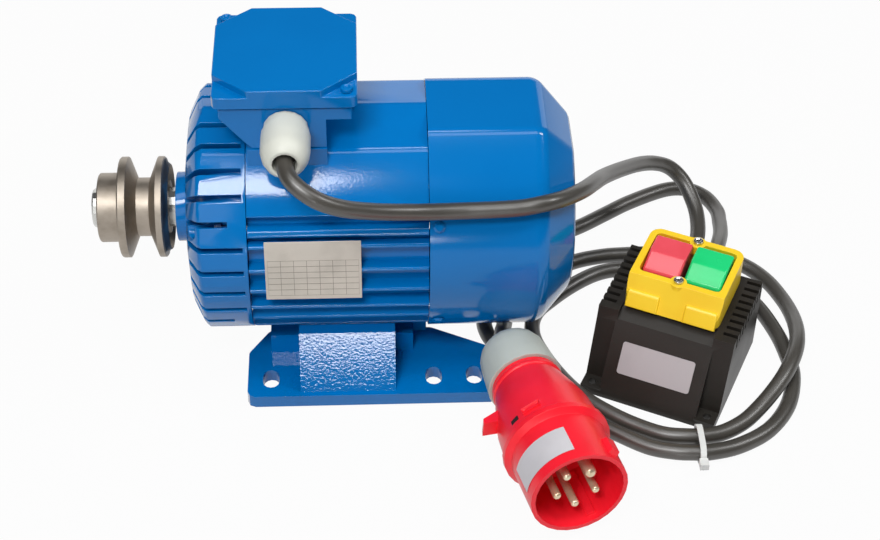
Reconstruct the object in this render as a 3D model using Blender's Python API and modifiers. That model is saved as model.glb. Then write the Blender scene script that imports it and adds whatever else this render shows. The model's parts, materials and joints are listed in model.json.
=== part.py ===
"""Foot-mounted three-phase motor with a vee pulley, a push-button starter and a plug on its lead.

X runs along the shaft from the pulley to the fan cover, -Y is the nameplate side and +Z is up.
The origin is on the floor under the middle of the motor. All sizes are in metres.
"""
import math

import bpy
import bmesh
from mathutils import Matrix, Vector

# Clearances
GAP = 0.0003             # between pieces that touch
AIR_GAP = 0.0006         # between rotor and stator
WELD = 0.00001
FLAT_ANGLE = math.radians(0.2)

# Shaft line and foot drilling
SHAFT_HEIGHT = 0.090
FOOT_SPAN = 0.140        # between the two rows of foot slots
FOOT_SHORT = 0.100       # first slot to second slot, along the shaft
FOOT_LONG = 0.125        # first slot to third slot
FOOT_TO_SHOULDER = 0.056
SHAFT_END_LENGTH = 0.050
SHAFT_END_RADIUS = 0.012

# Housing, along the shaft from the first foot slot
FRAME_START = -0.0086
FRAME_LENGTH = 0.1053
SHIELD_LENGTH = 0.0373
COVER_LENGTH = 0.0870
COVER_BEVEL = 0.0200     # length of the cover's tapered end

# Housing section: round, with tangent flats over the top at these angles over the horizontal
FRAME_RADIUS = 0.0743
FRAME_FLATS = tuple(math.radians(angle) for angle in (51, 77, 103, 129))
COVER_RADIUS = 0.0755
COVER_FLATS = tuple(math.radians(angle) for angle in (53, 90, 127))
COVER_END_RADIUS = 0.0515
COVER_END_SOFT = 0.0030
CREASE_ROUND = 0.0100
ROUND_STEPS = 28
COVER_WALL = 0.0015
FRAME_BORE = 0.0620
FIN_ROOT = 0.0665
FIN_COUNT = 30           # pitch of the fins and of the shield's ribs, as a full circle
FIN_START = math.radians(8.4)
FIN_ROOT_THICKNESS = 0.0046
FIN_TIP_THICKNESS = 0.0024
BOLT_RIB_ANGLE = math.radians(26.8)
BOLT_RIB_ROOT = 0.0094
BOLT_RIB_TIP = 0.0040
FIN_TOP_ANGLE = math.radians(34.4)
FIN_BOTTOM_ANGLE = math.radians(-70)

# Drive shield
BOSS_RADIUS = 0.0213
BOSS_LENGTH = 0.0083
DOME_FACE_RADIUS = 0.0450
DOME_RADIUS = 0.0830
DOME_DEPTH = 0.0270
DOME_STEPS = 4
SHIELD_STEPS = 32
RIB_GAP = 0.0034
RIB_GAP_LAG = math.radians(1.0)      # gap below the line of its fin
RIB_DEPTH = 0.0060
SHIELD_RIM = 0.0026
SHIELD_CAVITY = 0.0600
SHIELD_FACE_WALL = 0.0115
LUG_LENGTH = 0.0110

# Rear shield
REAR_FLANGE = 0.0100
REAR_HUB_LENGTH = 0.0252
HUB_RADIUS = 0.0325

# Bearings, seal and washer
BEARING_BORE = 0.0125
BEARING_OUTER = 0.0260
BEARING_WIDTH = 0.0150
BEARING_RACE = 0.0038
BEARING_SETBACK = 0.0050     # outer face of the drive bearing behind the shield's face
SEAL_RADIUS = 0.0180
SEAL_WIDTH = 0.0060
WASHER_THICKNESS = 0.0015

# Tie bolts
BOLT_RADIUS = 0.0025
BOLT_CIRCLE = 0.0660
BOLT_ANGLE = math.radians(28.1)
BOLT_HEAD_RADIUS = 0.0042
BOLT_HEAD_LENGTH = 0.0040
BOLT_RECESS = 0.0145         # bolt head seat in front of the frame joint

# Cover screws, square to the cover
COVER_SCREW_ANGLE = math.radians(29)
COVER_SCREW_RADIUS = 0.0017
COVER_SCREW_HEAD = 0.0036
COVER_SCREW_HEAD_HEIGHT = 0.0016
COVER_SCREW_LENGTH = 0.0038
COVER_SCREW_INSET = 0.0055

# Intake slots in the end of the fan cover: rings of (radius, count)
GRILLE_RINGS = ((0.017, 6), (0.030, 9), (0.043, 12))
GRILLE_SLOT_LENGTH = 0.0095
GRILLE_SLOT_WIDTH = 0.0036

# Stator and rotor
WINDING_CLEARANCE = 0.00385     # winding to end shield
ROTOR_RADIUS = 0.0400
WINDING_LENGTH = 0.0135
WINDING_INNER = 0.0435
WINDING_OUTER = 0.0575
CORE_SEAT_RADIUS = 0.0170
SHAFT_COLLAR_RADIUS = 0.0150
FAN_SEAT_RADIUS = 0.0100
CAGE_RING_RADIUS = 0.0370
CAGE_RING_LENGTH = 0.0080

# Fan
FAN_RADIUS = 0.0600
FAN_SETBACK = 0.0050         # back plate behind the rear hub
FAN_PLATE = 0.0030
FAN_BLADE_WIDTH = 0.0220
FAN_BLADE_THICKNESS = 0.0025
FAN_BLADES = 8
FAN_HUB_RADIUS = 0.0170
CLIP_THICKNESS = 0.0015
CLIP_RADIUS = 0.0130
CLIP_GROOVE = 0.0088

# Pulley
PULLEY_SETBACK = 0.0040      # hub face behind the tip of the shaft
PULLEY_HUB_RADIUS = 0.0212
PULLEY_HUB_LENGTH = 0.0124
PULLEY_RADIUS = 0.0309
PULLEY_RIM = 0.0062
GROOVE_MOUTH = 0.0172
GROOVE_FLOOR = 0.0076
GROOVE_RADIUS = 0.0180
PULLEY_BACK = 0.0076         # from the second groove edge to the back face
DISH_DEPTH = 0.0070
DISH_OUTER = 0.0260
DISH_INNER = 0.0170
KEY_WIDTH = 0.0080
KEY_HEIGHT = 0.0070
KEY_LENGTH = 0.0340
KEY_SEAT = 0.0040

# Foot
FOOT_PLATE = 0.0088
FOOT_EDGE_WALL = 0.0078      # plate outside the slots
FOOT_FRONT_MARGIN = 0.0143   # plate in front of the first slot
FOOT_REAR_MARGIN = 0.0144    # plate behind the third slot
FOOT_SLOT_WIDTH = 0.0100
FOOT_SLOT_LENGTH = 0.0150
FOOT_CORNER = 0.0050
FOOT_FRONT_CUT = 0.0130
FOOT_REAR_CUT = 0.0400
FOOT_CUT_START = 0.0470      # distance from the shaft line where the cut corners start
FOOT_INNER_EDGE = 0.0270
PEDESTAL_START = 0.0182
PEDESTAL_LENGTH = 0.0583
PEDESTAL_HEIGHT = 0.0430
PEDESTAL_TOP_EDGE = 0.0660
PEDESTAL_SETBACK = 0.0033    # pedestal behind the edge of the plate
GUSSET_FRONT = 0.0185        # gusset in front of the pedestal, along the shaft
GUSSET_REAR = 0.0115
GUSSET_HEIGHT = 0.0220
GUSSET_TOP_EDGE = 0.0455
GUSSET_FOOT_EDGE = 0.0467
SEAT_STEPS = 5

# Terminal box
BOX_CENTRE = 0.0157          # behind the first foot slot
BOX_SEAT = 0.1650
BOX_HALF_DEPTH = 0.0390
BOX_NECK_HALF = 0.0230
BOX_RIM_HALF = 0.0375
BOX_RIM_HEIGHT = 0.0080
BOX_HEIGHT = 0.0281
SEAT_MARGIN = 0.0010         # cut on the frame's ridge, round the box
BOX_POCKET_HALF_X = 0.0180
BOX_POCKET_HALF_Y = 0.0250
BOX_FLOOR = 0.0035
BOSS_HALF_DEPTH = 0.0400
BOSS_DROP = 0.0170
WIRE_HOLE = 0.0080
GASKET_THICKNESS = 0.0010
GASKET_HALF_X = 0.0300
GASKET_HALF_Y = 0.0310
GASKET_WIDTH = 0.0045
LID_HALF = 0.0410
LID_RIM = 0.0077
LID_HEIGHT = 0.0124
LID_CUT_X = 0.0205
LID_CUT_Y = 0.0170
LID_CORNER = 0.0035
LID_POCKET_HALF = 0.0320
LID_POCKET_DEPTH = 0.0085
LID_SCREW_INSET = 0.0060
LID_SCREW_RADIUS = 0.0016
LID_SCREW_HEAD = 0.0036
LID_SCREW_LENGTH = 0.0140
BOARD_HALF_X = 0.0160
BOARD_HALF_Y = 0.0230
BOARD_THICKNESS = 0.0060
STUD_RADIUS = 0.0022
STUD_HEIGHT = 0.0130
STUD_PITCH = 0.0145

# Cable gland on the terminal box
GLAND_HEIGHT = 0.1795
GLAND_SHANK = 0.0096
GLAND_COLLAR = 0.0130
GLAND_COLLAR_LENGTH = 0.0065
GLAND_NECK = 0.0105
GLAND_NECK_LENGTH = 0.0110
GLAND_NUT_RADIUS = 0.0142
GLAND_NUT_LENGTH = 0.0260
GLAND_MOUTH = 0.0071

# Nameplate
PLATE_WIDTH = 0.0560
PLATE_HEIGHT = 0.0394
PLATE_THICKNESS = 0.0008
PLATE_CENTRE = 0.0290        # behind the first foot slot
PLATE_ANGLE = math.radians(9.3)

# Cords
CORD_RADIUS = 0.0050
CORD_SPACING = 0.0220
CORD_FIT = 0.0004            # bore over cord

# Starter box, in its own frame: X across, Y towards its cord end, Z up
SWITCH_PLACE = (0.2087, -0.0574)
SWITCH_TURN = math.radians(-25.8)
SWITCH_HALF_WIDTH = 0.0430
SWITCH_HALF_LENGTH = 0.0427
SWITCH_CORE_HALF = 0.0310
SWITCH_SHOULDER = 0.0520
SWITCH_TOE = 0.0040
PANEL_TOP_EDGE = -0.0190
PANEL_TOP = 0.0460
SILL_EDGE = -0.0090
SILL_TOP = 0.0500
LUG_PAD = 0.0060
LUG_BACK = -0.0320
SHOULDER_FRONT = -0.0180
SHOULDER_LIP = 0.0440
LUG_HOLE = 0.0025
VENT_COUNT = 9
VENT_PITCH = 0.0062
VENT_WIDTH = 0.0026
VENT_DEPTH = 0.0090
VENT_REACH = 0.0090
VENT_START = -0.0110
SWITCH_WELL_HALF_X = 0.0255
SWITCH_WELL_FRONT = 0.0040
SWITCH_WELL_BACK = 0.0390
SWITCH_WELL_FLOOR = 0.0200
BEZEL_HALF = 0.0300
BEZEL_TOP = 0.0720
BEZEL_RIM_FRONT = -0.0035
BEZEL_APRON = -0.0125
BEZEL_CORNER = 0.0070
BEZEL_BACK = 0.0424
BEZEL_WALL = 0.0042
BEZEL_TAB = 0.0052
BEZEL_TAB_THICKNESS = 0.0060
BUTTON_FLOAT = 0.0010        # button to window, all round
BUTTON_SPLIT = 0.0030        # between the two buttons
BUTTON_PROUD = 0.0020
BUTTON_FOOT = 0.0575
BUTTON_SLOPE_START = 0.45    # share of the button's depth that slopes
BUTTON_SLOPE_DROP = 0.0050
BUTTON_CHAMFER = 0.0012
STEM_RADIUS = 0.0030
STEM_LENGTH = 0.0120
BLOCK_TOP = 0.0518
STEM_HOLE_DEPTH = 0.0160
BEZEL_SCREW_RADIUS = 0.0014
BEZEL_SCREW_HEAD = 0.0029
BEZEL_SCREW_HEAD_HEIGHT = 0.0016
INLET_HEIGHT = 0.0280
INLET_RADIUS = 0.0066
INLET_LENGTH = 0.0140
INLET_OFFSETS = (-0.0110, 0.0030)

# Plug, along its own axis from the mouth backwards
PLUG_MOUTH = (0.1382, -0.1920, 0.0364)
PLUG_YAW = math.radians(14.25)
PLUG_TILT = math.radians(3.4)
SHROUD_RADIUS = 0.0290
SHROUD_BORE = 0.0263
SHROUD_DEPTH = 0.0400
PLUG_RING = 0.0324
PLUG_RING_AT = 0.0390
PLUG_RING_WIDTH = 0.0130
PLUG_WAIST = 0.0212
PLUG_WAIST_CURVE = 1.25
PLUG_WAIST_AT = 0.0890
PLUG_BODY_LENGTH = 0.0950
PLUG_NECK = 0.0175
PLUG_NECK_LENGTH = 0.0170
PLUG_WIRE_BORE = 0.0100
CARRIER_THICKNESS = 0.0170
PIN_RADIUS = 0.0025
EARTH_PIN_RADIUS = 0.0035
PIN_CIRCLE = 0.0122
PIN_SETBACK = 0.0030
PIN_SEAT = 0.0080
EARTH_PIN_ANGLE = math.radians(50)
KEY_RIB_ANGLE = math.radians(292)
KEY_RIB_WIDTH = 0.0050
KEY_RIB_HEIGHT = 0.0016
PLUG_NUT_RADIUS = 0.0234
PLUG_NUT_TAPER = 0.0020
PLUG_NUT_LENGTH = 0.0365
PLUG_NUT_DOME = 0.0165
PLUG_NUT_MOUTH = 0.0080
HOOK_WIDTH = 0.0100
HOOK_LENGTH = 0.0110
HOOK_HEIGHT = 0.0080
HOOK_SETBACK = 0.0100
HOOK_ANGLE = math.radians(176)

# Cable tie round two runs of the supply lead
TIE_AT = (0.2180, -0.1310, 0.0077)
TIE_RUN_SPACING = 0.0128
TIE_WIDTH = 0.0036
TIE_THICKNESS = 0.0012
TIE_SLACK = 0.0013
TIE_HEAD = (0.0052, 0.0056, 0.0044)

# Cord routes through hand-chosen points, in millimetres
MOTOR_LEAD_ROUTE = (
    (-23.3, -64.0, 179.5), (-23.3, -73, 179.5), (-20.5, -83, 178.6), (-13.5, -89.5, 175),
    (-4, -92.5, 169.8), (8, -90, 162.6), (23.5, -82.5, 153.6), (40.7, -75, 146.2),
    (58, -69.6, 141.4), (75.2, -67.2, 139.6), (92.4, -66.8, 139.7), (109.9, -66.4, 140.4),
    (123.9, -64.2, 141.6), (135.9, -56.4, 138.6), (148, -42.5, 132.6), (157.5, -23, 122),
    (167, 2, 106), (182, 31, 87.5), (199.7, 59, 69), (212.7, 71.5, 59),
    (223.2, 75.5, 51.5), (231.6, 71.5, 44), (236.8, 62, 37), (239.2, 50, 32),
    (237.6, 33, 29), (231.9, 17, 28), (227.8, 7.6, 28), (223.9, -0.7, 28),
)
SUPPLY_LEAD_ROUTE = (
    (236.5, -6.8, 28), (240.4, 1.2, 28), (244.9, 11.5, 27.4), (251, 29.5, 23.4), (256.5, 49, 16.4),
    (259.5, 69, 9.6), (260.2, 84, 6.6), (254.5, 99.5, 5.5), (242.5, 108.2, 5.5), (227, 107.6, 5.5),
    (202.3, 95.6, 5.5), (183.8, 83.4, 5.5), (165.6, 71.2, 5.5), (142, 58, 5.5), (120, 39, 5.5),
    (102.5, 15, 5.5), (95.5, -10, 5.5), (97, -32, 5.5), (108.8, -50, 5.5), (124.8, -67, 5.5),
    (136.7, -87, 5.5), (150, -104.5, 5.5), (168, -117.5, 5.5), (187, -130, 5.6), (202, -135.6, 6.8),
    (213, -137.3, 7.5), (224, -137.3, 7.5), (242, -131.6, 6.4), (262, -118.6, 5.5), (277, -98.5, 5.5),
    (284.3, -74, 5.5), (283.5, -52, 5.5), (280, -33, 5.5), (272.5, -11, 5.5), (260, 9, 5.5),
    (242, 22, 5.5), (218, 27.5, 5.5), (190, 27.5, 5.5), (173, 24, 5.5), (156.5, 14, 5.5),
    (140.5, 0, 5.5), (128.6, -14, 5.5), (125.4, -32, 5.5), (131.4, -53, 5.5), (142.6, -75.2, 5.5),
    (154.6, -91.2, 5.5), (169, -104, 5.5), (183, -113.5, 5.5), (197, -121.2, 6.4),
    (210, -124.2, 7.4), (222, -124.5, 7.6), (234, -121.6, 7.6), (247, -114.2, 8.4), (258, -104.3, 10.4),
    (268.4, -93.4, 14), (277, -82, 16.8), (284, -69, 17.6), (289, -55, 16.2), (291.7, -40, 13.2),
    (292.2, -23, 9.4), (289.5, -5, 6.6), (282.5, 13.5, 5.6),
    (271, 28, 5.5), (254, 38, 5.5), (225, 42.2, 5.5), (190, 41.8, 5.5), (174, 40, 5.5),
    (158, 35.5, 5.5), (141, 26.5, 5.5), (125, 13, 5.5), (113.6, -4, 5.6), (109.6, -16, 6.7),
    (107.6, -27, 10.0), (105.9, -37, 15.6), (104.5, -46, 21.8), (103.8, -55, 26.8),
    (105.63, -63.9, 28.55),
)

# Finishes: colour, roughness, metallic
FINISHES = {
    "blue_paint": ((0.000, 0.162, 0.503), 0.28, 0.0),
    "turned_steel": ((0.34, 0.31, 0.28), 0.42, 1.0),
    "bright_steel": ((0.62, 0.62, 0.60), 0.25, 1.0),
    "laminated_steel": ((0.30, 0.30, 0.31), 0.50, 1.0),
    "copper_winding": ((0.50, 0.17, 0.06), 0.45, 0.6),
    "brass": ((0.72, 0.56, 0.28), 0.25, 1.0),
    "pale_plastic": ((0.73, 0.73, 0.66), 0.50, 0.0),
    "grey_plastic": ((0.42, 0.46, 0.43), 0.50, 0.0),
    "black_plastic": ((0.026, 0.023, 0.018), 0.45, 0.0),
    "black_rubber": ((0.038, 0.036, 0.032), 0.50, 0.0),
    "red_plastic": ((0.850, 0.012, 0.027), 0.35, 0.0),
    "stop_red": ((0.740, 0.045, 0.060), 0.20, 0.0),
    "start_green": ((0.007, 0.400, 0.102), 0.20, 0.0),
    "yellow_plastic": ((0.950, 0.610, 0.013), 0.35, 0.0),
    "bare_plate": ((0.62, 0.60, 0.55), 0.40, 0.6),
    "white_nylon": ((0.75, 0.76, 0.74), 0.45, 0.0),
}

# Stations along the shaft
SHAFT_TIP = -(FOOT_TO_SHOULDER + SHAFT_END_LENGTH)
COVER_START = FRAME_START + FRAME_LENGTH + GAP
HOLE_X = -(SHAFT_TIP + COVER_START + COVER_LENGTH) / 2
FRAME_A = HOLE_X + FRAME_START
FRAME_B = FRAME_A + FRAME_LENGTH
SHIELD_B = FRAME_A - GAP
SHIELD_A = SHIELD_B - SHIELD_LENGTH
COVER_A = FRAME_B + GAP
COVER_B = COVER_A + COVER_LENGTH
TIP_X = HOLE_X + SHAFT_TIP
SHOULDER_X = HOLE_X - FOOT_TO_SHOULDER
BOX_X = HOLE_X + BOX_CENTRE
FOOT_HALF_WIDTH = (FOOT_SPAN + FOOT_SLOT_LENGTH) / 2 + FOOT_EDGE_WALL
PEDESTAL_FOOT_EDGE = FOOT_HALF_WIDTH - PEDESTAL_SETBACK
CORE_A = FRAME_A + WINDING_CLEARANCE + WINDING_LENGTH + GAP
CORE_B = FRAME_B - WINDING_CLEARANCE - WINDING_LENGTH - GAP
DRIVE_BEARING_A = SHIELD_A + BEARING_SETBACK
REAR_HUB_END = COVER_A + REAR_HUB_LENGTH
REAR_BEARING_A = COVER_A + 2 * GAP
REAR_SEAT_END = REAR_BEARING_A + BEARING_WIDTH + WASHER_THICKNESS + 2 * GAP
FAN_A = REAR_HUB_END + FAN_SETBACK
FAN_B = FAN_A + FAN_PLATE + FAN_BLADE_WIDTH
CLIP_A = FAN_B + GAP
SHAFT_END_X = CLIP_A + CLIP_THICKNESS + 0.0035
BOX_TOP = BOX_SEAT + BOX_HEIGHT
LID_BASE = BOX_TOP + GASKET_THICKNESS + 2 * GAP
GLAND_FACE = BOX_HALF_DEPTH + GAP

TURN_TO_X = (0.0, math.pi / 2, 0.0)       # local Z to world X
TURN_TO_FRONT = (math.pi / 2, 0.0, 0.0)   # local Z to world -Y
AXIS_POINT = (0.0, 0.0, SHAFT_HEIGHT)


def clear_scene():
    for item in list(bpy.data.objects):
        bpy.data.objects.remove(item, do_unlink=True)


def new_collection(name):
    collection = bpy.data.collections.new(name)
    bpy.context.scene.collection.children.link(collection)
    return collection


def make_finish(name):
    colour, roughness, metallic = FINISHES[name]
    finish = bpy.data.materials.new(name)
    finish.use_nodes = True
    shader = finish.node_tree.nodes["Principled BSDF"]
    shader.inputs["Base Color"].default_value = (*colour, 1.0)
    shader.inputs["Roughness"].default_value = roughness
    shader.inputs["Metallic"].default_value = metallic
    return finish


def empty(name, location, rotation=(0.0, 0.0, 0.0)):
    marker = bpy.data.objects.new(name, None)
    marker.location = location
    marker.rotation_euler = rotation
    PARTS.objects.link(marker)
    return marker


def place(name, mesh, finish, location=(0, 0, 0), rotation=(0, 0, 0), parent=None):
    """Make a part from a mesh."""
    part = bpy.data.objects.new(name, mesh)
    mesh.name = name
    mesh.materials.append(MATERIALS[finish])
    part.location = location
    part.rotation_euler = rotation
    part.parent = parent
    PARTS.objects.link(part)
    return part


def cutter(name, mesh, location=(0, 0, 0), rotation=(0, 0, 0), parent=None):
    """Make a guide solid that cuts, joins or trims a part."""
    guide = bpy.data.objects.new(name, mesh)
    guide.location = location
    guide.rotation_euler = rotation
    guide.parent = parent
    guide.hide_render = True
    guide.display_type = 'WIRE'
    CUTTERS.objects.link(guide)
    return guide


def boolean(part, guide, operation='DIFFERENCE'):
    modifier = part.modifiers.new(guide.name, 'BOOLEAN')
    modifier.object = guide
    modifier.operation = operation
    modifier.solver = 'EXACT'


def smooth(part):
    part.data.shade_smooth()
    part.data.set_sharp_from_angle(angle=math.radians(35))


def box_mesh(low, high):
    mesh = bpy.data.meshes.new("box")
    shape = bmesh.new()
    bmesh.ops.create_cube(shape, size=1.0)
    low = Vector(low)
    high = Vector(high)
    size = high - low
    bmesh.ops.scale(shape, vec=size, verts=shape.verts)
    bmesh.ops.translate(shape, vec=(low + high) / 2, verts=shape.verts)
    shape.to_mesh(mesh)
    shape.free()
    return mesh


def rod_mesh(radius, low, high, sides=16):
    """A cylinder along local Z between two heights."""
    mesh = bpy.data.meshes.new("rod")
    shape = bmesh.new()
    bmesh.ops.create_cone(shape, cap_ends=True, segments=sides, radius1=radius, radius2=radius,
                          depth=high - low)
    bmesh.ops.translate(shape, vec=(0, 0, (low + high) / 2), verts=shape.verts)
    shape.to_mesh(mesh)
    shape.free()
    return mesh


PLANES = {
    "XY": Matrix.Identity(4),
    "YZ": Matrix(((0, 0, 1, 0), (1, 0, 0, 0), (0, 1, 0, 0), (0, 0, 0, 1))),
    "XZ": Matrix(((1, 0, 0, 0), (0, 0, -1, 0), (0, 1, 0, 0), (0, 0, 0, 1))),
}


def prism_mesh(loops, plane, low, high):
    """A flat outline, with any holes, drawn in a plane and given thickness across it."""
    if plane == "XZ":
        low, high = -high, -low
    curve = bpy.data.curves.new("outline", 'CURVE')
    curve.dimensions = '2D'
    curve.fill_mode = 'BOTH'
    curve.extrude = (high - low) / 2
    for loop in loops:
        spline = curve.splines.new('POLY')
        spline.points.add(len(loop) - 1)
        for point, (u, v) in zip(spline.points, loop):
            point.co = (u, v, 0.0, 1.0)
        spline.use_cyclic_u = True
    holder = bpy.data.objects.new("outline", curve)
    CUTTERS.objects.link(holder)
    graph = bpy.context.evaluated_depsgraph_get()
    mesh = bpy.data.meshes.new_from_object(holder.evaluated_get(graph))
    bpy.data.objects.remove(holder, do_unlink=True)
    shape = bmesh.new()
    shape.from_mesh(mesh)
    bmesh.ops.remove_doubles(shape, verts=shape.verts, dist=WELD)
    bmesh.ops.translate(shape, vec=(0, 0, (low + high) / 2), verts=shape.verts)
    bmesh.ops.transform(shape, matrix=PLANES[plane], verts=shape.verts)
    bmesh.ops.recalc_face_normals(shape, faces=shape.faces)
    shape.to_mesh(mesh)
    shape.free()
    mesh.materials.clear()
    return mesh


def profile_mesh(profile, closed=True):
    """Edges of a turned profile, given as (radius, height) in either direction."""
    pairs = list(zip(profile, profile[1:] + profile[:1]))
    area = sum(a[0] * b[1] - b[0] * a[1] for a, b in pairs)
    points = list(profile)
    if area > 0:
        points.reverse()
    edges = [(i, i + 1) for i in range(len(points) - 1)]
    if closed:
        edges.append((len(points) - 1, 0))
    mesh = bpy.data.meshes.new("profile")
    mesh.from_pydata([(radius, 0.0, height) for radius, height in points], edges, [])
    return mesh


def turn(item, steps):
    screw = item.modifiers.new("turn", 'SCREW')
    screw.axis = 'Z'
    screw.steps = steps
    screw.render_steps = steps
    screw.use_merge_vertices = True
    screw.merge_threshold = WELD


def turned(name, profile, finish, steps=32, closed=True, location=AXIS_POINT, rotation=TURN_TO_X,
           parent=None):
    part = place(name, profile_mesh(profile, closed), finish, location, rotation, parent)
    turn(part, steps)
    return part


def turned_cutter(name, profile, steps=32, closed=False, location=AXIS_POINT, rotation=TURN_TO_X,
                  parent=None):
    guide = cutter(name, profile_mesh(profile, closed), location, rotation, parent)
    turn(guide, steps)
    return guide


def joined(meshes):
    """Several meshes as one, still separate bodies."""
    shape = bmesh.new()
    for mesh in meshes:
        shape.from_mesh(mesh)
    result = bpy.data.meshes.new("joined")
    shape.to_mesh(result)
    shape.free()
    return result


def moved(mesh, matrix):
    copy = mesh.copy()
    copy.transform(matrix)
    return copy


def rectangle(low, high):
    return [(low[0], low[1]), (high[0], low[1]), (high[0], high[1]), (low[0], high[1])]


def stadium(width, length, centre, steps=6):
    """A slot outline, longer along its second axis."""
    loop = []
    radius = width / 2
    reach = (length - width) / 2
    for end, start in ((1, 0.0), (-1, math.pi)):
        for i in range(steps + 1):
            angle = start + math.pi * i / steps
            loop.append((centre[0] + radius * math.cos(angle),
                         centre[1] + end * reach + radius * math.sin(angle)))
    return loop


def rounded(corners, radius, steps=2):
    """A polygon with an arc at each corner."""
    loop = []
    count = len(corners)
    for i in range(count):
        corner = Vector(corners[i])
        before = (Vector(corners[i - 1]) - corner).normalized()
        after = (Vector(corners[(i + 1) % count]) - corner).normalized()
        opening = before.angle(after)
        reach = radius / math.tan(opening / 2)
        middle = corner + (before + after).normalized() * (radius / math.sin(opening / 2))
        start = corner + before * reach - middle
        finish = corner + after * reach - middle
        sweep = start.angle_signed(finish)
        for step in range(steps + 1):
            spoke = start.copy()
            spoke.rotate(Matrix.Rotation(-sweep * step / steps, 2))
            loop.append(tuple(middle + spoke))
    return loop


def arc(radius, low, high, steps):
    return [polar(radius, low + (high - low) * i / steps) for i in range(steps + 1)]


def crease(radius, low, high, steps=3):
    """Soft corner between two flats that touch the same circle."""
    y, h = polar((radius - CREASE_ROUND) / math.cos((high - low) / 2), (low + high) / 2)
    return [(y + dy, h + dh) for dy, dh in arc(CREASE_ROUND, low, high, steps)]


def creases(radius, flats):
    loop = []
    for low, high in zip(flats, flats[1:]):
        loop += crease(radius, low, high)
    return loop


def round_section(radius, flats):
    """Section with flats over the top and round below, as (y, height over the shaft)."""
    return creases(radius, flats) + arc(radius, flats[-1], flats[0] + 2 * math.pi, ROUND_STEPS)


def lifted(loop):
    return [(y, h + SHAFT_HEIGHT) for y, h in loop]


def polar(radius, angle):
    return (radius * math.cos(angle), radius * math.sin(angle))


def pitch_angles(lag=0.0):
    """Fin places on one side of the frame, from the lowest up."""
    pitch = 2 * math.pi / FIN_COUNT
    first = math.ceil((FIN_BOTTOM_ANGLE - FIN_START) / pitch)
    last = math.floor((math.pi / 2 - pitch / 2 - FIN_START) / pitch)
    return [FIN_START - lag + i * pitch for i in range(first, last + 1)]


def fin(angle, root, tip):
    """Corners of one tapered fin."""
    at_root = math.asin(root / 2 / FIN_ROOT)
    at_tip = math.asin(tip / 2 / FRAME_RADIUS)
    return [polar(FIN_ROOT, angle - at_root), polar(FRAME_RADIUS, angle - at_tip),
            polar(FRAME_RADIUS, angle + at_tip), polar(FIN_ROOT, angle + at_root)]


def finned_outline():
    """The frame's section: smooth on top and underneath, finned on both sides."""
    pitch = 2 * math.pi / FIN_COUNT
    fins = {}
    for angle in pitch_angles():
        if angle < FIN_TOP_ANGLE - pitch / 2 and abs(angle + BOLT_RIB_ANGLE) > pitch / 2:
            fins[angle] = fin(angle, FIN_ROOT_THICKNESS, FIN_TIP_THICKNESS)
    for angle in (-BOLT_RIB_ANGLE, BOLT_RIB_ANGLE):
        fins[angle] = fin(angle, BOLT_RIB_ROOT, BOLT_RIB_TIP)
    right = [polar(FRAME_RADIUS, FIN_BOTTOM_ANGLE), polar(FIN_ROOT, FIN_BOTTOM_ANGLE)]
    for angle in sorted(fins):
        right += fins[angle]
    right.append(polar(FIN_ROOT, FIN_TOP_ANGLE))
    right += arc(FRAME_RADIUS, FIN_TOP_ANGLE, FRAME_FLATS[0], 2)
    left = [(-y, h) for y, h in reversed(right)]
    bottom = arc(FRAME_RADIUS, -math.pi - FIN_BOTTOM_ANGLE, FIN_BOTTOM_ANGLE, 4)
    return right + creases(FRAME_RADIUS, FRAME_FLATS) + left + bottom[1:-1]


def bolt_places():
    places = []
    for side in (-1, 1):
        for level in (-1, 1):
            places.append((side * BOLT_CIRCLE * math.cos(BOLT_ANGLE),
                           level * BOLT_CIRCLE * math.sin(BOLT_ANGLE)))
    return places


def bolt_rods(radius, low, high, sides=8):
    """Rods along X at the four tie bolt places."""
    turn_matrix = Matrix.Rotation(math.pi / 2, 4, 'Y')
    rods = []
    for y, h in bolt_places():
        rod = rod_mesh(radius, low, high, sides)
        rods.append(moved(rod, Matrix.Translation((0, y, SHAFT_HEIGHT + h)) @ turn_matrix))
    return joined(rods)


def make_frame():
    frame = place("frame_housing", prism_mesh([lifted(finned_outline())], "YZ", FRAME_A, FRAME_B),
                  "blue_paint")
    boss = cutter("box_boss", box_mesh((BOX_X - BOX_NECK_HALF, -BOSS_HALF_DEPTH, BOX_SEAT - BOSS_DROP),
                                       (BOX_X + BOX_NECK_HALF, BOSS_HALF_DEPTH, BOX_SEAT)))
    boolean(frame, boss, 'UNION')
    overrun = 0.01
    reach = BOX_RIM_HALF + SEAT_MARGIN
    boolean(frame, cutter("box_seat", box_mesh((BOX_X - reach, -BOSS_HALF_DEPTH, BOX_SEAT),
                                               (BOX_X + reach, BOSS_HALF_DEPTH, BOX_SEAT + overrun))))
    boolean(frame, turned_cutter("frame_bore", [(0, FRAME_A - overrun), (FRAME_BORE, FRAME_A - overrun),
                                                (FRAME_BORE, FRAME_B + overrun), (0, FRAME_B + overrun)],
                                 steps=32))
    boolean(frame, cutter("frame_bolt_holes",
                          bolt_rods(BOLT_RADIUS + GAP, FRAME_A - overrun, FRAME_B + overrun)))
    boolean(frame, cutter("wire_passage", rod_mesh(WIRE_HOLE, SHAFT_HEIGHT, BOX_SEAT + overrun),
                          (BOX_X, 0, 0)))


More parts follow.
